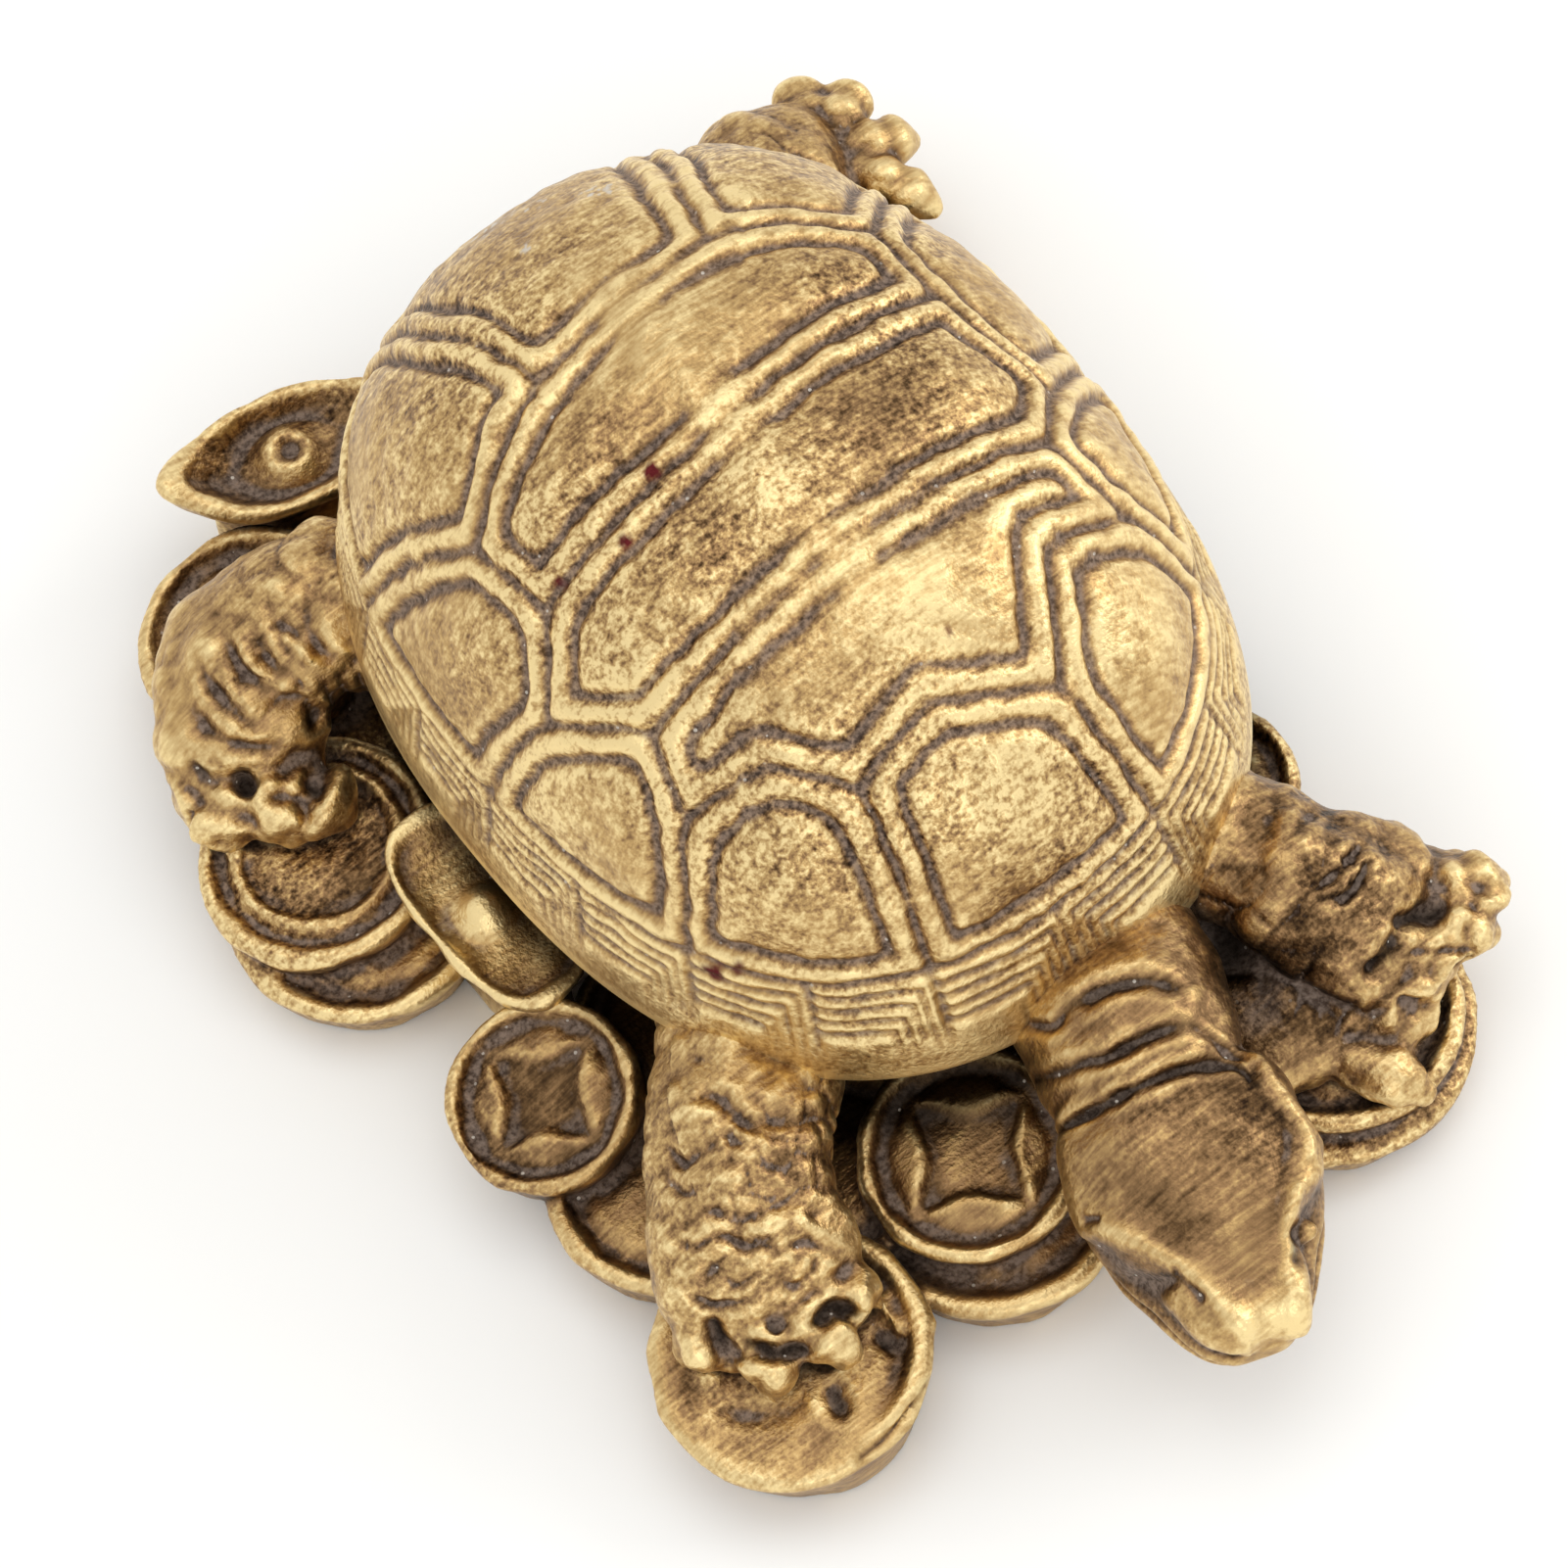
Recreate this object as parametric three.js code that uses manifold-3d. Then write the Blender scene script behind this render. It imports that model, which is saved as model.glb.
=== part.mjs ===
// A small brass turtle, cast in one piece, that stands on a ring of coins and two boat-shaped ingots.
// Millimetres, +Z up. The head points to -Y and the tail to +Y, so the turtle's left side is +X.
// The origin is on the flat underside, below the middle of the shell.

import * as THREE from 'three';
import { mergeVertices } from 'three/addons/utils/BufferGeometryUtils.js';
import Module from 'manifold-3d';

// Driving dimensions of the shell

const shell = {
  halfWidth: 15.3,
  halfLength: 20,
  rimHeight: 10,
  domeHeight: 17.4,
  planPower: 2.37,
  profilePower: 2.94,
  crownPower: 0.57,
  underside: 9,
};

// Carving of the plates: a groove around each, a raised frame, an inner groove and a panel.
// Each pair is a distance in from the plate's edge and a depth below the smooth dome.

const plateSteps = [
  [0.28, 0],
  [1.02, 0],
  [1.24, 0.4],
  [1.5, 0.05],
];
const grooveDepth = 0.42;
const edgeStep = 3.6;
const panelShare = 0.5;
const panelSpine = 0.8;
const sharpest = 0.5;

// The marginal band: where it starts, the slots between its tiles (half an angle, a depth),
// and pairs of height and depth down to the rim

const band = {
  start: 0.945,
  slot: 0.016,
  slotDepth: 0.4,
  steps: [[15.3, 0], [13.4, 0], [13.1, 0.35], [12.8, 0], [11.2, 0], [10.9, 0.3], [10.6, 0], [10, 0]],
};

// Steps in which a length over the dome is added up or searched for

const measuringSteps = 30;

// Corners of the plates in plan, on the turtle's right (-X) and left (+X)

const corners = {
  rearPairR: [-4.3, 7.1],
  rearPairL: [4.3, 8.0],
  rearKneeR: [-6.6, 6.2],
  rearKneeL: [7.2, 7.1],
  rearSideR: [-10.1, 4.0],
  rearSideL: [10.0, 5.3],
  backR: [-9.6, -0.2],
  backL: [10.2, 1.3],
  middleEndR: [-11.9, -2.9],
  middleEndL: [11.5, -4.0],
  frontR: [-9.6, -6.8],
  frontL: [9.8, -6.4],
  shoulderR: [-10.2, -9.6],
  shoulderL: [10.7, -9.7],
  kneeR: [-7.0, -10.7],
  kneeL: [6.9, -10.3],
  browR: [-4.6, -13.5],
  browL: [4.1, -14.6],
  browTop: [-0.7, -12.7],
};

// Where the grooves between side plates meet the marginal band, as plan directions

const bandCorners = {
  noseR: [-5.6, -17.8],
  noseL: [5.0, -18.0],
  foreL: [12.8, -11.5],
  sideL: [14.6, -1.5],
  hindL: [12.6, 9.0],
  tailL: [6.2, 16.8],
  tailR: [-6.4, 16.8],
  hindR: [-12.7, 8.3],
  sideR: [-14.8, -0.8],
  foreR: [-12.8, -11.5],
};

// Each plate as a loop of corners; an edge between two band corners runs along the band

const plates = [
  ['rearPairR', 'rearKneeR', 'rearSideR', 'backR', 'backL', 'rearSideL', 'rearKneeL', 'rearPairL'],
  ['backR', 'middleEndR', 'frontR', 'frontL', 'middleEndL', 'backL'],
  ['frontR', 'shoulderR', 'kneeR', 'browR', 'browTop', 'browL', 'kneeL', 'shoulderL', 'frontL'],
  ['browR', 'noseR', 'noseL', 'browL', 'browTop'],
  ['shoulderR', 'foreR', 'noseR', 'browR', 'kneeR'],
  ['kneeL', 'browL', 'noseL', 'foreL', 'shoulderL'],
  ['frontR', 'middleEndR', 'sideR', 'foreR', 'shoulderR'],
  ['shoulderL', 'foreL', 'sideL', 'middleEndL', 'frontL'],
  ['backR', 'rearSideR', 'hindR', 'sideR', 'middleEndR'],
  ['middleEndL', 'sideL', 'hindL', 'rearSideL', 'backL'],
  ['rearSideR', 'rearKneeR', 'rearPairR', 'tailR', 'hindR'],
  ['hindL', 'tailL', 'rearPairL', 'rearKneeL', 'rearSideL'],
  ['rearPairR', 'rearPairL', 'tailL', 'tailR'],
];

// The belly and the pile that fill the ring under the shell

const belly = {
  halfWidth: 13.1,
  halfLength: 17.6,
  footHalfWidth: 12.4,
  footHalfLength: 16.8,
  top: 11,
  sides: 24,
};

// Legs and neck: points of the centre line with half-widths across and upright

const limbs = {
  foreRight: {
    path: [
      [-9.5, -10.5, 8.6], [-13.6, -14.8, 8.4], [-15.7, -17.8, 7.6], [-16.6, -19.6, 6.6], [-17, -20.8, 5.5],
    ],
    across: [3.9, 3.7, 4.1, 4.4, 3.6],
    upright: [2.8, 2.7, 2.5, 2.2, 1.5],
  },
  foreLeft: {
    path: [
      [6.4, -13.0, 8.4], [8.7, -18.8, 8.5], [10.2, -21.4, 7.6], [11.2, -22.9, 6.6], [11.8, -23.9, 5.4],
    ],
    across: [3.4, 3.5, 3.7, 4.1, 3.4],
    upright: [2.8, 2.8, 2.6, 2.2, 1.5],
  },
  hindRight: {
    path: [
      [-9.0, 11.0, 8.4], [-13.6, 13.6, 8.6], [-16.8, 13.9, 7.8], [-18.6, 12.3, 6.8], [-19.4, 11.0, 5.6],
    ],
    across: [3.4, 3.5, 3.8, 3.6, 3.0],
    upright: [2.8, 2.8, 2.6, 2.2, 1.5],
  },
  hindLeft: {
    path: [[7.5, 13.0, 8.0], [10.8, 17.4, 7.4], [13.0, 18.6, 6.6], [14.6, 18.4, 5.4]],
    across: [3.2, 3.4, 3.3, 2.6],
    upright: [2.6, 2.5, 2.2, 1.5],
  },
  tail: {
    path: [[0, 16, 8], [0.2, 19.6, 7.4], [1.0, 21.4, 6.0]],
    across: [2.2, 1.5, 0.5],
    upright: [1.8, 1.3, 0.5],
  },
};

// Feet: the joint that the toes spring from and the tip of each toe

const feet = {
  foreRight: {
    joint: [-16.9, -20.6, 5.4],
    tips: [[-20.9, -19.9, 4.7], [-18.9, -23.3, 4.6], [-15.8, -24.0, 4.7], [-13.2, -22.9, 4.8]],
  },
  foreLeft: {
    joint: [11.6, -23.6, 5.6],
    tips: [[15.7, -24.2, 4.6], [14.4, -25.9, 4.5], [11.6, -26.8, 4.4], [9.4, -27.0, 4.2]],
  },
  hindRight: {
    joint: [-19.4, 11.2, 5.4],
    tips: [[-22.3, 12.3, 4.6], [-21.8, 9.5, 4.6], [-19.4, 7.9, 4.7], [-17.3, 7.0, 4.8]],
  },
  hindLeft: {
    joint: [14.6, 18.4, 5.4],
    tips: [[15.6, 22.0, 5.0], [17.6, 20.0, 4.9], [18.0, 17.0, 4.8], [17.2, 14.2, 4.8]],
  },
};

// A toe: places between joint and tip, half-widths there as shares of the radius, and its arch

const toe = { radius: 1.3, places: [0.4, 0.74, 0.94], widths: [0.9, 1.1, 0.5], flatness: 0.88, arch: 0.9 };

// The broad claw on the inner side of the left fore foot

const thumbClaw = {
  path: [[6.4, -23.8, 4.8], [7.2, -26.7, 4.6], [8.2, -28.3, 4.2], [8.6, -29, 3.8]],
  across: [0.9, 1.2, 1.2, 0.6],
  upright: [0.9, 1.0, 0.9, 0.5],
};

// Triangles round and along each kind of limb

const limbGrid = { sides: 10, steps: 6 };
const toeGrid = { sides: 7, steps: 2 };
const neckGrid = { sides: 12, steps: 10 };
const ridgeGrid = { sides: 4, steps: 6 };
const tipBulge = 0.6;

// Neck folds, from the shell to the skull

const neck = {
  path: [
    [1.6, -15, 8.6], [1.3, -19.6, 8.8], [0.7, -21.0, 9.0], [0.5, -21.8, 8.9],
    [0.2, -22.8, 9.1], [0.0, -23.6, 8.9], [-0.4, -25.2, 8.7], [-1.0, -27.0, 8.2],
  ],
  across: [4.6, 4.7, 5.0, 4.4, 4.9, 4.1, 4.2, 3.4],
  upright: [3.6, 3.7, 4.0, 3.4, 3.8, 3.2, 2.9, 2.4],
};

// The head turns a little to the turtle's right. Stations run from the nape to the nose tip.

const head = {
  back: [0.0, -23.9],
  turn: 19,
  along: [0, 0.9, 2.6, 4.6, 6.6, 8.2, 9.6, 10.8, 11.6],
  across: [2.8, 4.1, 4.7, 4.8, 4.4, 3.7, 3.0, 2.2, 1.2],
  topHeight: [9.9, 11.0, 11.3, 11.0, 10.5, 10.1, 9.6, 9.0, 8.0],
  chinHeight: [7.0, 5.6, 4.8, 4.3, 4.1, 4.3, 4.7, 5.2, 6.2],
  sides: 14,
  sidePower: 2.7,
  noseBulge: 0.3,
  eyes: [[7.9, -3.0, 8.4], [8.1, 3.2, 8.4]],
  eyeRadius: 0.75,
};

// The raised edges of the skull cap: places along the head, aside from its middle, and heights

const ridges = [
  [[0.8, -4.2, 9.6], [3, -4.7, 9.9], [4.8, -4.6, 9.7], [6.4, -3.4, 9.7], [8, -2.1, 9.6], [10.6, -0.7, 8.9]],
  [[1.6, 3.5, 10.3], [3.2, 3.9, 10.3], [4.8, 4.4, 9.9], [6.4, 3.7, 9.7], [8.2, 2.7, 9.5], [10.6, 1.9, 8.6]],
];
const ridgeRadii = [0.3, 0.65, 0.7, 0.7, 0.6, 0.3];

// What all coins share, as shares of the radius, depths in millimetres and a count of sides

const coinStyle = {
  rim: 0.13,
  rimSlope: 1.3,
  rimRise: 0.35,
  round: 0.4,
  footShare: 0.86,
  segments: 14,
  starPoints: 8,
  starReach: 0.68,
  starWaist: 0.36,
  starDepth: 0.35,
  starCut: 2,
};

// How far a coin's foot runs on below the floor before everything is cut level

const belowFloor = 1;

// Coins: centre of the top face, radius, height of the edge, lean outward in degrees and its
// direction, and the turn of the star

const coins = [
  { at: [-17.3, -22.1, 4.2], radius: 5.6, height: 4.2, lean: 4, toward: 230 },
  { at: [-7.0, -20.2, 5.2], radius: 4.5, height: 1.9, lean: 8, toward: 250, star: 12 },
  { at: [-18.6, -7.5, 5.2], radius: 4.0, height: 2.6, lean: 14, toward: 200, star: 12 },
  { at: [-19.2, 7.2, 4.7], radius: 5.0, height: 1.9, lean: 5, toward: 190 },
  { at: [-18.9, 5.2, 2.6], radius: 5.6, height: 2.6, lean: 0, toward: 0 },
  { at: [-15.6, 17.0, 4.4], radius: 4.8, height: 4.4, lean: 6, toward: 160 },
  { at: [7.9, -23.9, 4.2], radius: 5.2, height: 1.6, lean: 6, toward: 300 },
  { at: [10.6, -13.6, 4.8], radius: 3.8, height: 4.8, lean: 6, toward: 340 },
  { at: [11.4, -4.6, 3.8], radius: 4.2, height: 3.8, lean: 8, toward: 0 },
  { at: [11.8, 4.2, 5.0], radius: 4.3, height: 5.0, lean: 6, toward: 10 },
  { at: [12.6, 12.2, 3.6], radius: 4.8, height: 3.6, lean: 4, toward: 30 },
  { at: [3.2, 17.2, 4.6], radius: 4.6, height: 4.6, lean: 6, toward: 90 },
];

// Coins of the lower layer, of which only the edge shows: centre and height of the top, radius

const lowerCoins = [
  { at: [-6.7, -20.7, 3.0], radius: 5.6 },
  { at: [-16.3, -12.6, 3.0], radius: 5.0 },
  { at: [-11.2, -16.4, 3.6], radius: 4.4 },
  { at: [7.6, -23.6, 2.4], radius: 6.0 },
  { at: [0.4, -20.4, 3.6], radius: 5.2 },
  { at: [-13.0, 12.4, 2.6], radius: 5.2 },
  { at: [-8.0, 17.6, 2.6], radius: 5.2 },
  { at: [13.8, 18.2, 4.3], radius: 3.9 },
];

// Boat-shaped ingots: middle of the rim, direction of the long axis in degrees, sizes

const ingots = [
  {
    at: [-9.9, 21.9, 6.0], turn: -15, halfLength: 5.6, halfWidth: 2.6, keel: 6.0, tipRise: 1.1,
    power: 2, pinch: 0.35, wall: 0.24, boss: 1.2, bossAside: 0,
  },
  {
    at: [-15.6, 0, 6.2], turn: 92, halfLength: 5.2, halfWidth: 2.5, keel: 6.2, tipRise: 0.3,
    power: 3, pinch: 0, wall: 0.18, boss: 1.6, bossAside: 1.0,
  },
];

// Sections of an ingot: shares of its length and width, a height as a share of the keel, and
// whether the tips rise; then the dish inside its wall

const ingotStyle = {
  sides: 16,
  hull: [[0.71, 0.62, -1, 0], [0.67, 0.56, -0.45, 0], [1, 1, -0.06, 1], [1, 1, 0, 1]],
  dish: [[0.5, 0.6, -0.9, 0], [1, 1, 0, 0.9], [1, 1, 4, 0]],
  bossHeight: 0.95,
  tipPower: 3,
};

// The block that keeps what stands above the floor

const above = { width: 100, height: 60 };

const wasm = await Module();
wasm.setup();

// A closed geometry as a solid

function solidOf(geometry) {
  const bare = geometry.index ? geometry.toNonIndexed() : geometry.clone();
  bare.deleteAttribute('normal');
  bare.deleteAttribute('uv');
  const merged = mergeVertices(bare, 1e-4);
  const mesh = new wasm.Mesh({
    numProp: 3,
    vertProperties: new Float32Array(merged.attributes.position.array),
    triVerts: new Uint32Array(merged.index.array),
  });
  return new wasm.Manifold(mesh);
}

// A solid as a geometry again

function geometryOf(solid) {
  const mesh = solid.getMesh();
  const geometry = new THREE.BufferGeometry();
  geometry.setAttribute('position', new THREE.BufferAttribute(mesh.vertProperties, 3));
  geometry.setIndex(new THREE.BufferAttribute(mesh.triVerts, 1));
  geometry.computeVertexNormals();
  return geometry;
}

function joinAll(solids) {
  let queue = solids;
  while (queue.length > 1) {
    const next = [];
    for (let i = 0; i < queue.length; i += 2) {
      next.push(i + 1 < queue.length ? queue[i].add(queue[i + 1]) : queue[i]);
    }
    queue = next;
  }
  return queue[0];
}

// A geometry from points and triangles

function meshOf(points, triangles) {
  const geometry = new THREE.BufferGeometry();
  geometry.setAttribute('position', new THREE.Float32BufferAttribute(points.flat(), 3));
  geometry.setIndex(triangles);
  return geometry;
}

// A closed skin over rings of points with equal counts, with a pole point at each end

function skin(rings, firstPole, lastPole) {
  const count = rings[0].length;
  const points = [firstPole, ...rings.flat(), lastPole];
  const triangles = [];
  const last = points.length - 1;
  const base = 1 + (rings.length - 1) * count;
  for (let j = 0; j < count; j += 1) {
    const next = (j + 1) % count;
    triangles.push(0, 1 + next, 1 + j);
    for (let i = 0; i < rings.length - 1; i += 1) {
      const a = 1 + i * count + j;
      const b = 1 + i * count + next;
      triangles.push(a, b, a + count, b, b + count, a + count);
    }
    triangles.push(last, base + j, base + next);
  }
  return meshOf(points, triangles);
}

// Shape of the dome: share of the way from the crown to the rim, height there, and the rim's plan

function rimShare(x, y) {
  const across = Math.abs(x) / shell.halfWidth;
  const along = Math.abs(y) / shell.halfLength;
  return (across ** shell.planPower + along ** shell.planPower) ** (1 / shell.planPower);
}

function heightAt(share) {
  return shell.domeHeight * Math.max(0, 1 - share ** shell.profilePower) ** shell.crownPower;
}

function shareAt(height) {
  const rise = (height - shell.rimHeight) / shell.domeHeight;
  return (1 - rise ** (1 / shell.crownPower)) ** (1 / shell.profilePower);
}

function ovalPoint(angle, halfWidth, halfLength, power) {
  const c = Math.cos(angle);
  const s = Math.sin(angle);
  const x = halfWidth * Math.sign(c) * Math.abs(c) ** (2 / power);
  const y = halfLength * Math.sign(s) * Math.abs(s) ** (2 / power);
  return [x, y];
}

// The angle that ovalPoint takes to reach the rim in the direction of a plan point

function ovalAngle([x, y]) {
  const power = shell.planPower / 2;
  const c = Math.sign(x) * Math.abs(x / shell.halfWidth) ** power;
  const s = Math.sign(y) * Math.abs(y / shell.halfLength) ** power;
  return Math.atan2(s, c);
}

// The outward direction of the dome above a plan point

function domeNormal(x, y) {
  const share = Math.min(1, Math.max(rimShare(x, y), 1e-6));
  const power = shell.planPower;
  const gradient = [
    Math.sign(x) * (Math.abs(x) / shell.halfWidth) ** (power - 1) / shell.halfWidth,
    Math.sign(y) * (Math.abs(y) / shell.halfLength) ** (power - 1) / shell.halfLength,
  ].map((value) => value * share ** (1 - power));
  const steepness = shell.domeHeight * shell.crownPower * shell.profilePower;
  const slope = steepness * share ** (shell.profilePower - 1);
  const flatness = (1 - share ** shell.profilePower) ** (1 - shell.crownPower);
  return new THREE.Vector3(gradient[0] * slope, gradient[1] * slope, flatness).normalize();
}

// The point of the carved shell above a plan point, at a depth below the smooth dome

function shellPoint([x, y], depth) {
  const point = new THREE.Vector3(x, y, shell.rimHeight + heightAt(Math.min(1, rimShare(x, y))));
  return point.addScaledVector(domeNormal(x, y), -depth).toArray();
}

// Distance over the dome from the crown, along the meridian with this rim radius

function meridianLength(share, radius) {
  let length = 0;
  let previous = [0, heightAt(0)];
  for (let i = 1; i <= measuringSteps; i += 1) {
    const t = share * Math.sin((i / measuringSteps) * Math.PI / 2);
    const point = [radius * t, heightAt(t)];
    length += Math.hypot(point[0] - previous[0], point[1] - previous[1]);
    previous = point;
  }
  return length;
}

// A plan point on the rolled-out shell, and back

function rollOut([x, y]) {
  const reach = Math.hypot(x, y);
  const share = rimShare(x, y);
  const length = meridianLength(share, reach / share);
  return [x * length / reach, y * length / reach];
}

function rollBack([u, v]) {
  const length = Math.hypot(u, v);
  const radius = length / rimShare(u, v);
  let low = 0;
  let high = 1;
  for (let i = 0; i < measuringSteps; i += 1) {
    const middle = (low + high) / 2;
    if (meridianLength(middle, radius) < length) {
      low = middle;
    } else {
      high = middle;
    }
  }
  return [u / length * radius * low, v / length * radius * low];
}

// A plan point moved along its meridian onto the line where the marginal band starts

function ontoBand([x, y]) {
  const factor = band.start / rimShare(x, y);
  return [x * factor, y * factor];
}

// Points from one corner to just before the next, the same points whichever way the edge runs

function edgePoints(name, nextName) {
  const onBand = name in bandCorners && nextName in bandCorners;
  const place = (key) => (key in corners ? corners[key] : ontoBand(bandCorners[key]));
  const [first, second] = [name, nextName].sort();
  const from = place(first);
  const to = place(second);
  const steps = Math.max(1, Math.round(Math.hypot(to[0] - from[0], to[1] - from[1]) / edgeStep));
  const points = [];
  for (let k = 0; k <= steps; k += 1) {
    const t = k / steps;
    const point = [from[0] + (to[0] - from[0]) * t, from[1] + (to[1] - from[1]) * t];
    points.push(onBand ? ontoBand(point) : point);
  }
  if (first !== name) {
    points.reverse();
  }
  return points.slice(0, -1);
}

function loopPoints(names) {
  return names.flatMap((name, i) => edgePoints(name, names[(i + 1) % names.length]));
}

// An outline, anticlockwise, moved inwards by a distance, its corners no sharper than a limit;
// an edge that would turn over shrinks to a point

function insetOutline(points, distance) {
  const count = points.length;
  const moved = points.map((point, i) => {
    const before = points[(i + count - 1) % count];
    const after = points[(i + 1) % count];
    const a = new THREE.Vector2(point[0] - before[0], point[1] - before[1]).normalize();
    const b = new THREE.Vector2(after[0] - point[0], after[1] - point[1]).normalize();
    const normal = new THREE.Vector2(-(a.y + b.y), a.x + b.x).normalize();
    const cosine = Math.max(sharpest, normal.y * a.x - normal.x * a.y);
    return [point[0] + normal.x * distance / cosine, point[1] + normal.y * distance / cosine];
  });
  for (let i = 0; i < count; i += 1) {
    const next = (i + 1) % count;
    const forward = (points[next][0] - points[i][0]) * (moved[next][0] - moved[i][0])
      + (points[next][1] - points[i][1]) * (moved[next][1] - moved[i][1]);
    if (forward < 0) {
      const middle = [(moved[i][0] + moved[next][0]) / 2, (moved[i][1] + moved[next][1]) / 2];
      moved[i] = middle;
      moved[next] = [...middle];
    }
  }
  return moved;
}

// One plate as loops of points: the groove's floor, the frame, the inner groove and the panel

function plateLoops(names) {
  const plan = loopPoints(names);
  const flat = plan.map(rollOut);
  const loops = [plan.map((point) => shellPoint(point, grooveDepth))];
  let outline = flat;
  for (const [distance, depth] of plateSteps) {
    outline = insetOutline(flat, distance);
    loops.push(outline.map((point) => shellPoint(rollBack(point), depth)));
  }
  const spine = spineOf(outline);
  const smaller = outline.map((point) => towardSpine(point, spine, panelShare));
  loops.push(smaller.map((point) => shellPoint(rollBack(point), 0)));
  return loops;
}

// The middle line of a panel: a short span left to right through its middle

function spineOf(outline) {
  const middleY = outline.reduce((sum, point) => sum + point[1], 0) / outline.length;
  const spread = (axis) => {
    const values = outline.map((point) => point[axis]);
    return [Math.min(...values), Math.max(...values)];
  };
  const [left, right] = spread(0);
  const [front, rear] = spread(1);
  const reach = Math.max(0, (right - left - (rear - front)) / 2) * panelSpine;
  return { middle: [(left + right) / 2, middleY], reach };
}

function towardSpine([x, y], { middle, reach }, share) {
  const nearest = Math.max(middle[0] - reach, Math.min(middle[0] + reach, x));
  return [nearest + (x - nearest) * share, middle[1] + (y - middle[1]) * share];
}

// Triangles between two closed loops with the same count of points

function strip(outer, inner) {
  const triangles = [];
  outer.forEach((point, i) => {
    const next = (i + 1) % outer.length;
    triangles.push([point, outer[next], inner[i]], [outer[next], inner[next], inner[i]]);
  });
  return triangles;
}

// Triangles that close a narrow anticlockwise loop, stitched from its right end (-X) to its left end

function closeAcross(loop) {
  const count = loop.length;
  const at = (i) => loop[(i + count) % count];
  const xs = loop.map((point) => point[0]);
  const start = xs.indexOf(Math.min(...xs));
  const end = xs.indexOf(Math.max(...xs));
  const frontSteps = (end - start + count) % count;
  const triangles = [];
  let front = 0;
  let rear = 0;
  while (front + rear < count - 1) {
    const nextFront = front < frontSteps ? at(start + front + 1)[0] : Infinity;
    const nextRear = rear < count - frontSteps ? at(start - rear - 1)[0] : Infinity;
    if (nextFront <= nextRear) {
      triangles.push([at(start + front), at(start + front + 1), at(start - rear)]);
      front += 1;
    } else {
      triangles.push([at(start + front), at(start - rear - 1), at(start - rear)]);
      rear += 1;
    }
  }
  return triangles;
}

// Triangles between two closed loops of any counts, stitched in step with their angles

function stitch(outer, inner) {
  const angle = (point) => (Math.atan2(point[1], point[0]) + 2 * Math.PI) % (2 * Math.PI);
  const sorted = (loop) => [...loop].sort((a, b) => angle(a) - angle(b));
  const nextAngle = (loop, k) => {
    if (k >= loop.length) {
      return Infinity;
    }
    return angle(loop[(k + 1) % loop.length]) + (k + 1 === loop.length ? 2 * Math.PI : 0);
  };
  const [a, b] = [sorted(outer), sorted(inner)];
  const triangles = [];
  let i = 0;
  let j = 0;
  while (i < a.length || j < b.length) {
    const nextA = nextAngle(a, i);
    const nextB = nextAngle(b, j);
    const pointA = a[i % a.length];
    const pointB = b[j % b.length];
    if (nextA <= nextB) {
      i += 1;
      triangles.push([pointA, a[i % a.length], pointB]);
    } else {
      j += 1;
      triangles.push([pointA, b[j % b.length], pointB]);
    }
  }
  return triangles;
}

// Directions of the slots between the marginal tiles: at each band corner and halfway to the next

function slotAngles() {
  const places = Object.values(bandCorners);
  const halfway = places.map((place, i) => {
    const next = places[(i + 1) % places.length];
    return [(place[0] + next[0]) / 2, (place[1] + next[1]) / 2];
  });
  return [...places, ...halfway].map(ovalAngle).sort((a, b) => a - b);
}

// The marginal band as loops down to the rim, with a slot between each two tiles

function bandLoops() {
  const columns = [];
  const angles = slotAngles();
  angles.forEach((angle, i) => {
    const next = i + 1 < angles.length ? angles[i + 1] : angles[0] + 2 * Math.PI;
    columns.push([angle - band.slot, 0], [angle, band.slotDepth], [angle + band.slot, 0]);
    columns.push([(angle + next) / 2, 0]);
  });
  return band.steps.map(([height, depth]) => columns.map(([angle, slotDepth]) => {
    const share = shareAt(height);
    const [x, y] = ovalPoint(angle, shell.halfWidth, shell.halfLength, shell.planPower);
    const deepest = height > shell.rimHeight ? Math.max(depth, slotDepth) : depth;
    return shellPoint([x * share, y * share], deepest);
  }));
}

// The whole shell as one closed skin

function shellGeometry() {
  const triangles = [];
  for (const names of plates) {
    const loops = plateLoops(names);
    for (let i = 0; i < loops.length - 1; i += 1) {
      triangles.push(...strip(loops[i], loops[i + 1]));
    }
    triangles.push(...closeAcross(loops[loops.length - 1]));
  }
  const rim = loopPoints(Object.keys(bandCorners)).map((point) => shellPoint(point, grooveDepth));
  const down = bandLoops();
  triangles.push(...stitch(down[0], rim));
  for (let i = 0; i < down.length - 1; i += 1) {
    triangles.push(...strip(down[i + 1], down[i]));
  }
  const bottom = down[down.length - 1];
  bottom.forEach((point, i) => {
    triangles.push([bottom[(i + 1) % bottom.length], point, [0, 0, shell.underside]]);
  });
  const points = triangles.flat();
  return meshOf(points, points.map((point, i) => i));
}

// The belly and pile: a tapered superellipse block from the floor into the shell

function bellySolid() {
  const foot = [];
  const top = [];
  for (let j = 0; j < belly.sides; j += 1) {
    const angle = (j / belly.sides) * 2 * Math.PI;
    foot.push([...ovalPoint(angle, belly.footHalfWidth, belly.footHalfLength, shell.planPower), 0]);
    top.push([...ovalPoint(angle, belly.halfWidth, belly.halfLength, shell.planPower), belly.top]);
  }
  return solidOf(skin([foot, top], [0, 0, 0], [0, 0, belly.top]));
}

// A limb: elliptical rings square to a smooth centre line, with rounded ends

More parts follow.
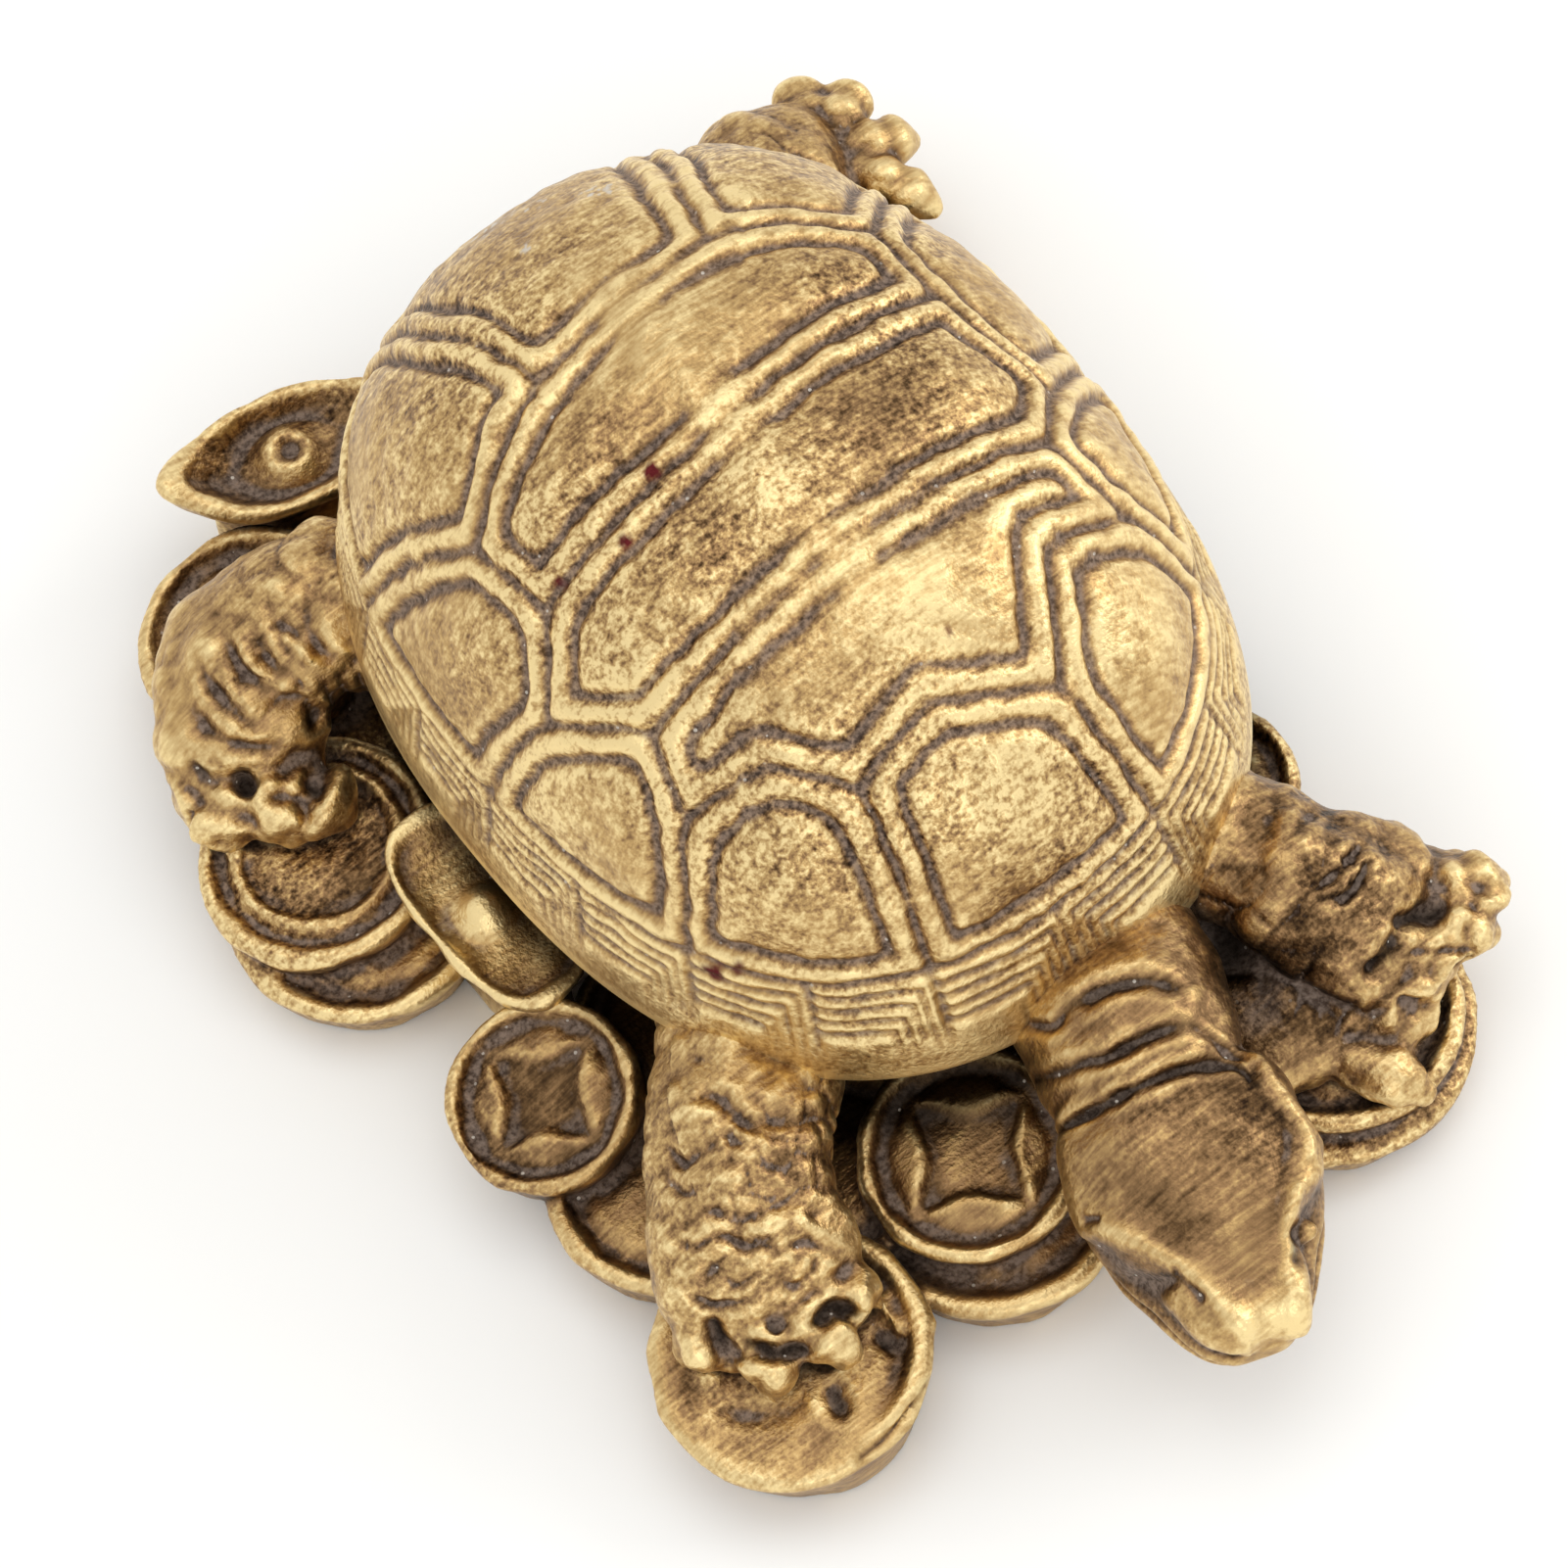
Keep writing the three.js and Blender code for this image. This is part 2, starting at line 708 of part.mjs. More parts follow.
function limbSolid({ path, across, upright }, { sides, steps }) {
  const knots = path.map((place) => new THREE.Vector3(...place));
  const curve = new THREE.CatmullRomCurve3(knots, false, 'centripetal');
  const rings = [];
  for (let i = 0; i <= steps; i += 1) {
    const t = i / steps;
    const centre = curve.getPoint(t);
    const along = curve.getTangent(t);
    const aside = new THREE.Vector3(-along.y, along.x, 0).normalize();
    const up = new THREE.Vector3().crossVectors(along, aside).normalize();
    const halfAcross = valueAlong(across, t);
    const halfUpright = valueAlong(upright, t);
    const ring = [];
    for (let j = 0; j < sides; j += 1) {
      const angle = (j / sides) * 2 * Math.PI;
      const point = centre.clone();
      point.addScaledVector(aside, halfAcross * Math.cos(angle));
      point.addScaledVector(up, halfUpright * Math.sin(angle));
      ring.push(point.toArray());
    }
    rings.push(ring);
  }
  const start = curve.getPoint(0);
  const finish = curve.getPoint(1);
  finish.addScaledVector(curve.getTangent(1), upright[upright.length - 1] * tipBulge);
  return solidOf(skin(rings, start.toArray(), finish.toArray()));
}

function valueAlong(values, t) {
  const place = t * (values.length - 1);
  const i = Math.min(Math.floor(place), values.length - 2);
  return values[i] + (values[i + 1] - values[i]) * (place - i);
}

// A small ball

function ballSolid(centre, radius, columns, rows) {
  const geometry = new THREE.SphereGeometry(radius, columns, rows);
  return solidOf(geometry.rotateX(Math.PI / 2).translate(...centre));
}

// A toe: an arched finger from the joint to a round tip

function toeSolid(joint, tip) {
  const from = new THREE.Vector3(...joint);
  const to = new THREE.Vector3(...tip);
  const path = toe.places.map((share) => {
    const point = from.clone().lerp(to, share);
    point.z += toe.arch * Math.sin(share * Math.PI);
    return point.toArray();
  });
  const across = toe.widths.map((width) => width * toe.radius);
  const upright = across.map((width) => width * toe.flatness);
  return limbSolid({ path, across, upright }, toeGrid);
}

function footSolids({ joint, tips }) {
  return tips.map((tip) => toeSolid(joint, tip));
}

// The head: stations across the turned axis, wide at the skull and blunt at the nose

function headPoint(along, aside) {
  const turn = THREE.MathUtils.degToRad(head.turn);
  const x = head.back[0] - along * Math.sin(turn) + aside * Math.cos(turn);
  const y = head.back[1] - along * Math.cos(turn) - aside * Math.sin(turn);
  return [x, y];
}

function skullSolid() {
  const rings = head.along.map((along, i) => {
    const middle = (head.topHeight[i] + head.chinHeight[i]) / 2;
    const halfHeight = (head.topHeight[i] - head.chinHeight[i]) / 2;
    const ring = [];
    for (let j = 0; j < head.sides; j += 1) {
      const angle = ((j + 0.5) / head.sides) * 2 * Math.PI;
      const [aside, rise] = ovalPoint(angle, head.across[i], halfHeight, head.sidePower);
      ring.push([...headPoint(along, aside), middle + rise]);
    }
    return ring;
  });
  const last = head.along.length - 1;
  const middle = (i) => (head.topHeight[i] + head.chinHeight[i]) / 2;
  const nape = [...headPoint(head.along[0], 0), middle(0)];
  const nose = [...headPoint(head.along[last] + head.noseBulge, 0), middle(last)];
  return solidOf(skin(rings, nape, nose));
}

function headSolids() {
  const placed = ([along, aside, height]) => [...headPoint(along, aside), height];
  const eyes = head.eyes.map((eye) => ballSolid(placed(eye), head.eyeRadius, 6, 4));
  const edges = ridges.map((ridge) => (
    limbSolid({ path: ridge.map(placed), across: ridgeRadii, upright: ridgeRadii }, ridgeGrid)
  ));
  return [skullSolid(), ...eyes, ...edges];
}

// A turned disc, moved and leaned outward

function turnedSolid(profile, matrix) {
  const outline = profile.map(([radius, height]) => new THREE.Vector2(radius, height));
  const lathe = new THREE.LatheGeometry(outline, coinStyle.segments);
  return solidOf(lathe.rotateX(Math.PI / 2).applyMatrix4(matrix));
}

// A coin with a raised rim, its foot a little narrower, leaned outward

function coinSolid({ at, radius, height, lean, toward, star }) {
  const rim = radius * coinStyle.rim;
  const heading = THREE.MathUtils.degToRad(toward);
  const axis = new THREE.Vector3(-Math.sin(heading), Math.cos(heading), 0);
  const matrix = new THREE.Matrix4().makeTranslation(...at);
  matrix.multiply(new THREE.Matrix4().makeRotationAxis(axis, THREE.MathUtils.degToRad(lean)));
  const disc = turnedSolid([
    [0, -height - belowFloor],
    [radius * coinStyle.footShare, -height - belowFloor],
    [radius, -coinStyle.round],
    [radius - coinStyle.round, 0],
    [radius - rim, 0],
    [radius - rim * coinStyle.rimSlope, -coinStyle.rimRise],
    [0, -coinStyle.rimRise],
  ], matrix);
  if (star === undefined) {
    return disc;
  }
  return disc.subtract(solidOf(starGeometry(radius, star).applyMatrix4(matrix)));
}

// A coin of the lower layer, plain, from the floor up

function lowerCoinSolid({ at, radius }) {
  return turnedSolid([
    [0, -at[2] - belowFloor],
    [radius * coinStyle.footShare, -at[2] - belowFloor],
    [radius, -coinStyle.round],
    [radius - coinStyle.round, 0],
    [0, 0],
  ], new THREE.Matrix4().makeTranslation(...at));
}

// The square hole of a coin, with sides that curve in, as a shallow recess

function starGeometry(radius, turn) {
  const points = [];
  for (let i = 0; i < coinStyle.starPoints; i += 1) {
    const reach = radius * (i % 2 === 0 ? coinStyle.starReach : coinStyle.starWaist);
    const angle = THREE.MathUtils.degToRad(turn) + (i / coinStyle.starPoints) * 2 * Math.PI;
    points.push(new THREE.Vector2(reach * Math.cos(angle), reach * Math.sin(angle)));
  }
  const floor = -coinStyle.rimRise - coinStyle.starDepth;
  const options = { depth: coinStyle.starCut, bevelEnabled: false };
  return new THREE.ExtrudeGeometry(new THREE.Shape(points), options).translate(0, 0, floor);
}

// An ingot: a boat with a waisted body, a dished top, upturned tips and a round boss

function ingotSolid(ingot) {
  const inner = 1 - ingot.wall;
  const hull = ingotStyle.hull.map(([long, wide, height, rise]) => (
    boatRing(ingot, long, wide, height * ingot.keel, rise)
  ));
  const dish = ingotStyle.dish.map(([long, wide, height, rise]) => (
    boatRing(ingot, long * inner, wide * inner, height, rise)
  ));
  const matrix = new THREE.Matrix4().makeTranslation(...ingot.at);
  matrix.multiply(new THREE.Matrix4().makeRotationZ(THREE.MathUtils.degToRad(ingot.turn)));
  const heightOf = (rings, i) => rings[i][0][2];
  const body = skin(hull, [0, 0, heightOf(hull, 0)], [0, 0, 0]).applyMatrix4(matrix);
  const hollow = skin(dish, [0, 0, heightOf(dish, 0)], [0, 0, heightOf(dish, 2)]).applyMatrix4(matrix);
  const bossPlace = new THREE.Vector3(0, ingot.bossAside, heightOf(dish, 0)).applyMatrix4(matrix);
  const boss = ballSolid(bossPlace.toArray(), ingot.boss * ingotStyle.bossHeight, 10, 6);
  return solidOf(body).subtract(solidOf(hollow)).add(boss);
}

// One level ring of an ingot: an oval with pinched ends that rise at the tips

function boatRing({ halfLength, halfWidth, power, pinch, tipRise }, long, wide, height, rise) {
  const ring = [];
  for (let j = 0; j < ingotStyle.sides; j += 1) {
    const angle = (j / ingotStyle.sides) * 2 * Math.PI;
    const end = Math.abs(Math.cos(angle)) ** ingotStyle.tipPower;
    const [x, y] = ovalPoint(angle, halfLength * long, halfWidth * wide, power);
    ring.push([x, y * (1 - pinch * end), height + tipRise * rise * end]);
  }
  return ring;
}

// Everything above the floor, as one casting

function turtleSolid() {
  const pieces = [
    solidOf(shellGeometry()),
    bellySolid(),
    limbSolid(neck, neckGrid),
    ...headSolids(),
    ...Object.values(limbs).map((limb) => limbSolid(limb, limbGrid)),
    ...Object.values(feet).flatMap(footSolids),
    limbSolid(thumbClaw, toeGrid),
    ...coins.map(coinSolid),
    ...lowerCoins.map(lowerCoinSolid),
    ...ingots.map(ingotSolid),
  ];
  const block = new THREE.BoxGeometry(above.width, above.width, above.height);
  return joinAll(pieces).intersect(solidOf(block.translate(0, 0, above.height / 2)));
}

const brass = new THREE.MeshStandardMaterial({ color: 0xb8924a, roughness: 0.45, metalness: 1 });
const turtle = new THREE.Mesh(geometryOf(turtleSolid()), brass);
turtle.name = 'turtle';

const model = new THREE.Group();
model.add(turtle);

export default model;
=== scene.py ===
import bpy
import numpy as np
from mathutils import Matrix


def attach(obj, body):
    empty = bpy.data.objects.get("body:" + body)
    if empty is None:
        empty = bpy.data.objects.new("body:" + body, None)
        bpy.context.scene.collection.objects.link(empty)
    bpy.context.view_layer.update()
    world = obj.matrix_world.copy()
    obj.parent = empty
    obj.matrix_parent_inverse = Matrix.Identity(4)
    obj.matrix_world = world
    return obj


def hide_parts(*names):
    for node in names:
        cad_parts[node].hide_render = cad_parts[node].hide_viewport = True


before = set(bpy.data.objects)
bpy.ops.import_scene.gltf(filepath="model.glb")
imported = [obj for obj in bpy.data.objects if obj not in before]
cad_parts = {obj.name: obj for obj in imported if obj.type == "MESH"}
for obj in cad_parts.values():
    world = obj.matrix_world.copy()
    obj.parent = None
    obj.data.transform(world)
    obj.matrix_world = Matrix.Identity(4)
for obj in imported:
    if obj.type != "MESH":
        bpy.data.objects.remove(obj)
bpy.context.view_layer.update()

# Everything is worked out in millimetres, in the frame of the model: +Z up, the head towards -Y, the
# turtle's left side at +X. Points become metres when they go into a mesh.
mm = 0.001


# camera

camera = {
    "azimuth": -22.0, "elevation": 63.0, "roll": -16.0,
    "distance": 435.0,            # mm from the middle of the shell's rim plane
    "pixelsPerMm": 26.0, "framePixels": 1601, "sensor": 36.0,
    "aim": [-0.29, -5.87],        # middle of the picture, mm to the right of and above the rim's middle
    "rimMiddle": [0.0, 0.0, 10.0],
}


def cameraAxes():
    # right, up and backward directions: azimuth about Z, then elevation, then the roll about the view
    a, e, r = np.radians([camera["azimuth"], camera["elevation"], camera["roll"]])
    right = np.array([np.cos(a), np.sin(a), 0.0])
    back = np.array([np.sin(a) * np.cos(e), -np.cos(a) * np.cos(e), np.sin(e)])
    up = np.cross(back, right)
    return np.cos(r) * right + np.sin(r) * up, np.cos(r) * up - np.sin(r) * right, back


def placeCamera():
    # at the aim point plus the distance backward; a lens of f mm at the distance d shows a millimetre as
    # f / d * frame / sensor pixels
    right, up, back = cameraAxes()
    aside, above = camera["aim"]
    place = np.array(camera["rimMiddle"]) + aside * right + above * up + camera["distance"] * back
    data = bpy.data.cameras.new("camera")
    data.sensor_width = camera["sensor"]
    data.lens = camera["pixelsPerMm"] * camera["distance"] / camera["framePixels"] * camera["sensor"]
    obj = bpy.data.objects.new("camera", data)
    bpy.context.scene.collection.objects.link(obj)
    turned = Matrix(np.column_stack([right, up, back]).tolist()).to_4x4()
    obj.matrix_world = Matrix.Translation((place * mm).tolist()) @ turned
    bpy.context.scene.camera = obj


placeCamera()
print("camera placed")


# small tools for arrays

def smoothStep(low, high, values):
    # 0 below low, 1 above high, and 3t^2 - 2t^3 between them
    t = np.clip((values - low) / (high - low), 0.0, 1.0)
    return t * t * (3.0 - 2.0 * t)


def waves(points, size, seed, count=28, spread=(0.7, 1.4)):
    # uneven field, mostly between -1 and 1, with humps about size apart: the sum of cosines in random
    # directions over the square root of their number
    random = np.random.default_rng(seed)
    directions = random.normal(size=(count, 3))
    directions /= np.linalg.norm(directions, axis=1)[:, None]
    lengths = random.uniform(*spread, count) * np.pi / size
    phases = random.uniform(0.0, 2.0 * np.pi, count)
    return np.cos(points @ (directions * lengths[:, None]).T + phases).sum(axis=1) / np.sqrt(count)


def splinePoints(controls, count):
    # Catmull-Rom curve through the rows of controls, at even steps of their index
    rows = np.array(controls, float)
    padded = np.vstack([2.0 * rows[0] - rows[1], rows, 2.0 * rows[-1] - rows[-2]])
    t = np.linspace(0.0, len(rows) - 1.0, count)
    i = np.minimum(t.astype(int), len(rows) - 2)
    f = (t - i)[:, None]
    a, b, c, d = padded[i], padded[i + 1], padded[i + 2], padded[i + 3]
    return 0.5 * (2.0 * b + (c - a) * f + (2.0 * a - 5.0 * b + 4.0 * c - d) * f ** 2
                  + (3.0 * b - a - 3.0 * c + d) * f ** 3)


def unit(vectors):
    # each vector divided by its length
    return vectors / np.maximum(np.linalg.norm(vectors, axis=-1, keepdims=True), 1e-9)


def closedSkin(rings):
    # rows of points with equal counts become quads, and each end closes on the mean of its row
    rows, columns = rings.shape[:2]
    points = np.vstack([rings.reshape(-1, 3), rings[0].mean(axis=0), rings[-1].mean(axis=0)])
    index = np.arange(rows * columns).reshape(rows, columns)
    onward = np.roll(index, -1, axis=1)
    quads = np.stack([index[:-1], onward[:-1], onward[1:], index[1:]], axis=-1).reshape(-1, 4)
    first, last = rows * columns, rows * columns + 1
    start = np.stack([onward[0], index[0], np.full(columns, first)], axis=-1)
    finishAndPaintedLight = np.stack([index[-1], onward[-1], np.full(columns, last)], axis=-1)
    return points, quads, np.vstack([start, finishAndPaintedLight])


def joined(parts):
    # several skins as one list of points, quads and triangles
    points, quads, triangles, start = [], [], [], 0
    for part in parts:
        points.append(part[0])
        quads.append(part[1] + start)
        triangles.append(part[2] + start)
        start += len(part[0])
    return np.vstack(points), np.vstack(quads), np.vstack(triangles)


def meshFrom(name, points, quads, triangles):
    # points in metres, and faces by their corners, as a smoothly shaded mesh
    mesh = bpy.data.meshes.new(name)
    mesh.vertices.add(len(points))
    mesh.vertices.foreach_set("co", points.astype(np.float32).ravel())
    corners = np.concatenate([quads.ravel(), triangles.ravel()]).astype(np.int32)
    sizes = np.concatenate([np.full(len(quads), 4), np.full(len(triangles), 3)]).astype(np.int32)
    mesh.loops.add(len(corners))
    mesh.loops.foreach_set("vertex_index", corners)
    mesh.polygons.add(len(sizes))
    mesh.polygons.foreach_set("loop_start", np.concatenate([[0], np.cumsum(sizes)[:-1]]).astype(np.int32))
    mesh.polygons.foreach_set("use_smooth", np.ones(len(sizes), bool))
    mesh.update(calc_edges=True)
    mesh.validate()
    return mesh


def edgePairs(quads, triangles):
    # every edge once, as the numbers of its two points
    pairs = [quads[:, [k, (k + 1) % 4]] for k in range(4)]
    pairs += [triangles[:, [k, (k + 1) % 3]] for k in range(3)]
    return np.unique(np.sort(np.vstack(pairs), axis=1), axis=0)


def relaxed(values, pairs, rounds, share=0.5):
    # each value moves a share of the way to the mean of its neighbours, several times over
    values = np.array(values, float)
    columns = values.reshape(len(values), -1)
    ends = np.concatenate([pairs[:, 0], pairs[:, 1]])
    others = np.concatenate([pairs[:, 1], pairs[:, 0]])
    counts = np.maximum(np.bincount(ends, minlength=len(columns)), 1)
    for _ in range(rounds):
        for k in range(columns.shape[1]):
            means = np.bincount(ends, weights=columns[others, k], minlength=len(columns)) / counts
            columns[:, k] += share * (means - columns[:, k])
    return columns.reshape(values.shape)


def pointNormals(points, quads, triangles):
    # the direction of the sum of the faces' area normals round each point: the cross product of a quad's
    # diagonals, or of two sides of a triangle
    whole = np.zeros_like(points)
    a, b, c, d = points[quads.T]
    e, f, g = points[triangles.T]
    for faces, crossed in ((quads, np.cross(c - a, d - b)), (triangles, np.cross(f - e, g - e))):
        for k in range(faces.shape[1]):
            for axis in range(3):
                whole[:, axis] += np.bincount(faces[:, k], weights=crossed[:, axis], minlength=len(points))
    return unit(whole)


def pathDistance(points, path):
    # least distance from each point to a polyline, segment by segment
    best = np.full(len(points), np.inf)
    for start, end in zip(path[:-1], path[1:]):
        along = end - start
        t = np.clip((points - start) @ along / max(along @ along, 1e-12), 0.0, 1.0)
        gap = points - start - t[:, None] * along
        best = np.minimum(best, np.einsum("ij,ij->i", gap, gap))
    return np.sqrt(best)


# shell: the smooth dome

shell = {
    "halfWidth": 15.3, "halfLength": 20.0, "rimHeight": 10.0, "domeHeight": 17.4,
    # a larger plan or profile power, or a smaller crown power, is squarer
    "planPower": 2.37, "profilePower": 2.94, "crownPower": 0.57,
    "bandStart": 0.945,           # share of the way to the rim where the marginal band begins
    # cells across the middle of the mesh, its share of the way to the rim, and rows outside it
    "centreCells": 196, "centreShare": 0.6, "outerRows": 72,
    # rows under the rim: share of the way to the rim, and height
    "lip": [[1.0, 9.8], [0.993, 9.62], [0.975, 9.52], [0.94, 9.5], [0.82, 9.4], [0.5, 9.2]],
}


def rimShare(x, y):
    # superellipse distance: 0 at the crown, 1 on the rim
    power = shell["planPower"]
    return (abs(x / shell["halfWidth"]) ** power + abs(y / shell["halfLength"]) ** power) ** (1.0 / power)


def domeHeight(share):
    # the whole height times (1 - share^profile power)^crown power
    drop = np.clip(1.0 - share ** shell["profilePower"], 0.0, 1.0)
    return shell["domeHeight"] * drop ** shell["crownPower"]


def domePoints(x, y):
    # places in plan, lifted onto the dome
    return np.stack([x, y, shell["rimHeight"] + domeHeight(rimShare(x, y))], axis=-1)


def domeNormals(x, y):
    # gradient of height minus dome height, scaled so that it stays finite at the rim
    power, profile, crown = shell["planPower"], shell["profilePower"], shell["crownPower"]
    share = np.clip(rimShare(x, y), 1e-6, 1.0)
    across = np.sign(x) * abs(x / shell["halfWidth"]) ** (power - 1.0) / shell["halfWidth"]
    along = np.sign(y) * abs(y / shell["halfLength"]) ** (power - 1.0) / shell["halfLength"]
    slope = shell["domeHeight"] * crown * profile * share ** (profile - power)
    flat = (1.0 - share ** profile) ** (1.0 - crown)
    return unit(np.stack([across * slope, along * slope, flat], axis=-1))


# table of the length over the dome from its crown, with closer steps towards the rim
shareSteps = 1.0 - np.linspace(1.0, 0.0, 3001) ** 2.5
meanRadius = (shell["halfWidth"] + shell["halfLength"]) / 2.0
lengthSteps = np.concatenate([[0.0], np.cumsum(np.hypot(np.diff(shareSteps * meanRadius),
                                                         np.diff(domeHeight(shareSteps))))])


def lengthAt(share):
    # by that table
    return np.interp(share, shareSteps, lengthSteps)


def shellGrid():
    # A square grid bent into a disc (concentric map) covers the middle, and rings outside it carry on down
    # to the rim and under the lip. The disc's radius is the length over the dome from the crown.
    n = shell["centreCells"]
    a, b = np.meshgrid(np.linspace(-1, 1, n + 1), np.linspace(-1, 1, n + 1), indexing="ij")
    wide = abs(a) > abs(b)
    signed = np.where(wide, a, b)
    turn = np.where(wide, b / np.where(wide, a, 1.0), a / np.where(wide | (b == 0), 1.0, b)) * np.pi / 4
    disc = np.stack([signed * np.where(wide, np.cos(turn), np.sin(turn)),
                     signed * np.where(wide, np.sin(turn), np.cos(turn))], axis=-1).reshape(-1, 2)
    index = np.arange((n + 1) ** 2).reshape(n + 1, n + 1)
    corners = [index[:-1, :-1], index[1:, :-1], index[1:, 1:], index[:-1, 1:]]
    quads = [np.stack(corners, axis=-1).reshape(-1, 4)]
    loop = np.concatenate([index[:-1, 0], index[-1, :-1], index[:0:-1, -1], index[0, :0:-1]])
    heading = unit(disc[loop])
    reach = shell["centreShare"]
    lengths = [reach + (1 - reach) * (k + 1) / shell["outerRows"] for k in range(shell["outerRows"])]
    direction = np.concatenate([unit(disc)] + [heading] * (len(lengths) + len(shell["lip"])))
    share = np.interp(np.concatenate([np.hypot(*disc.T) * reach, np.repeat(lengths, len(loop))])
                      * lengthSteps[-1], lengthSteps, shareSteps)
    share = np.concatenate([share] + [np.full(len(loop), place) for place, height in shell["lip"]])
    plan = direction * [shell["halfWidth"], shell["halfLength"]]
    plan *= (share / np.maximum(rimShare(plan[:, 0], plan[:, 1]), 1e-9))[:, None]
    points = domePoints(plan[:, 0], plan[:, 1])
    normals = domeNormals(plan[:, 0], plan[:, 1])
    before, start = loop, len(disc)
    for height in [None] * len(lengths) + [height for place, height in shell["lip"]]:
        ring = start + np.arange(len(loop))
        quads.append(np.stack([before, ring, np.roll(ring, -1), np.roll(before, -1)], axis=-1))
        if height is not None:
            points[ring, 2] = height
        before, start = ring, start + len(loop)
    points = np.vstack([points, [0.0, 0.0, shell["lip"][-1][1]]])
    normals = np.vstack([normals, [0.0, 0.0, -1.0]])
    triangles = np.stack([before, np.full(len(loop), len(points) - 1), np.roll(before, -1)], axis=-1)
    share = np.append(share, 0.0)
    upper = np.arange(len(points)) < len(disc) + len(lengths) * len(loop)
    return points, normals, share, upper, np.vstack(quads), triangles


# shell: the carving

carving = {
    # places in plan (mm) where grooves meet, R and L for the turtle's right and left side
    "corners": {
        "rearPairR": [-4.3, 7.1], "rearPairL": [4.3, 8.0], "rearKneeR": [-6.6, 6.2],
        "rearKneeL": [7.2, 7.1], "rearSideR": [-10.1, 4.0], "rearSideL": [10.0, 5.3],
        "backR": [-9.6, -0.2], "backL": [10.2, 1.3], "middleEndR": [-11.9, -2.9],
        "middleEndL": [11.5, -4.0], "frontR": [-9.6, -6.8], "frontL": [9.8, -6.4],
        "shoulderR": [-10.2, -9.6], "shoulderL": [10.7, -9.7], "kneeR": [-7.0, -10.7],
        "kneeL": [6.9, -10.3], "browR": [-4.6, -13.5], "browL": [4.1, -14.6], "browTop": [-0.7, -12.7],
    },
    "bandCorners": {                        # directions of the grooves' ends on the band
        "noseR": [-5.6, -17.8], "noseL": [5.0, -18.0], "foreL": [12.8, -11.5], "sideL": [14.6, -1.5],
        "hindL": [12.6, 9.0], "tailL": [6.2, 16.8], "tailR": [-6.4, 16.8], "hindR": [-12.7, 8.3],
        "sideR": [-14.8, -0.8], "foreR": [-12.8, -11.5],
    },
    "grooves": """rearPairR-rearPairL rearPairL-rearKneeL rearKneeL-rearSideL rearSideL-backL backL-backR
        backR-rearSideR rearSideR-rearKneeR rearKneeR-rearPairR backR-middleEndR middleEndR-frontR
        frontR-frontL frontL-middleEndL middleEndL-backL frontR-shoulderR shoulderR-kneeR kneeR-browR
        browR-browTop browTop-browL browL-kneeL kneeL-shoulderL shoulderL-frontL browR-noseR browL-noseL
        shoulderL-foreL middleEndL-sideL rearSideL-hindL rearPairL-tailL rearPairR-tailR rearSideR-hindR
        middleEndR-sideR shoulderR-foreR""".split(),
    "wavers": [[0.1, 2.6], [0.06, 0.7]],    # mm by which hand-cut lines stray, and size of the bends
    "grooveDepth": 0.3, "grooveHalfWidth": 0.21,
    # distance in from the groove's middle, and height there: raised frame, inner groove, domed panel
    "profile": [[0.0, -0.1], [0.2, -0.02], [0.42, 0.07], [0.7, 0.1], [0.92, 0.03], [1.08, -0.16],
                [1.2, -0.32], [1.34, -0.34], [1.5, -0.16], [1.68, 0.0], [2.2, 0.08], [3.0, 0.17],
                [4.2, 0.25]],
    "cornerRound": 6.0,                     # larger is sharper, per mm
    "keelHeight": 0.32, "keelWidth": 1.7, "keelEnds": [-14.0, -9.0, 7.0, 12.0],
    "keelWear": 0.75,                       # share of the carving that is rubbed away on the keel
    "tileLines": [0.8, 1.55, 2.3, 3.05], "lineHalfWidth": 0.2, "lineDepth": 0.32,
    "tileGroove": 0.3, "tileGrooveHalfWidth": 0.18, "tileWaver": [0.1, 1.6],
    "uprightCloser": 1.5,                   # how much closer together the lines run beside the tile's end
    "lipStart": 5.3, "lipFade": 1.4,        # mm below the band's edge, where the tiles end
    "lipGroove": 0.2, "lipGrooveHalfWidth": 0.22,
    "unevenness": [[0.05, 2.2], [0.03, 0.6]],
    "softening": 3, "markRounds": 2,        # rounds of relaxing: for the relief, and for its finish
    "rimFade": [0.985, 1.0],                # shares of the way to the rim over which the relief ends
    "bandEdge": 0.001,                      # half the share of the way over which the band's relief begins
    "cell": 0.18, "hollowFrom": 0.45,       # mm between points; depth that counts as wholly hollow
}


def placeOf(name):
    # a corner's place in plan; one on the band is moved along its direction to the band's edge
    if name in carving["corners"]:
        return np.array(carving["corners"][name])
    plan = np.array(carving["bandCorners"][name])
    return plan * shell["bandStart"] / rimShare(*plan)


def grooveLine(name, nextName, share=None, steps=10):
    # straight in plan from corner to corner, or at a given share of the way to the rim, and lifted onto
    # the dome
    t = np.linspace(0.0, 1.0, steps + 1)[:, None]
    plan = placeOf(name) * (1.0 - t) + placeOf(nextName) * t
    if share:
        plan *= share / rimShare(plan[:, 0], plan[:, 1])[:, None]
    return domePoints(plan[:, 0], plan[:, 1])


def rimLength(x, y):
    # length along the rim from the tail's middle, anticlockwise from above, by a table over the direction
    turn = np.linspace(0.0, 2.0 * np.pi, 2001)
    table = np.stack([-np.sin(turn), np.cos(turn)], axis=-1) * [shell["halfWidth"], shell["halfLength"]]
    table /= rimShare(table[:, 0], table[:, 1])[:, None]
    lengths = np.concatenate([[0.0], np.cumsum(np.hypot(*np.diff(table, axis=0).T))])
    angle = np.arctan2(-x / shell["halfWidth"], y / shell["halfLength"]) % (2.0 * np.pi)
    return np.interp(angle, turn, lengths), lengths[-1]


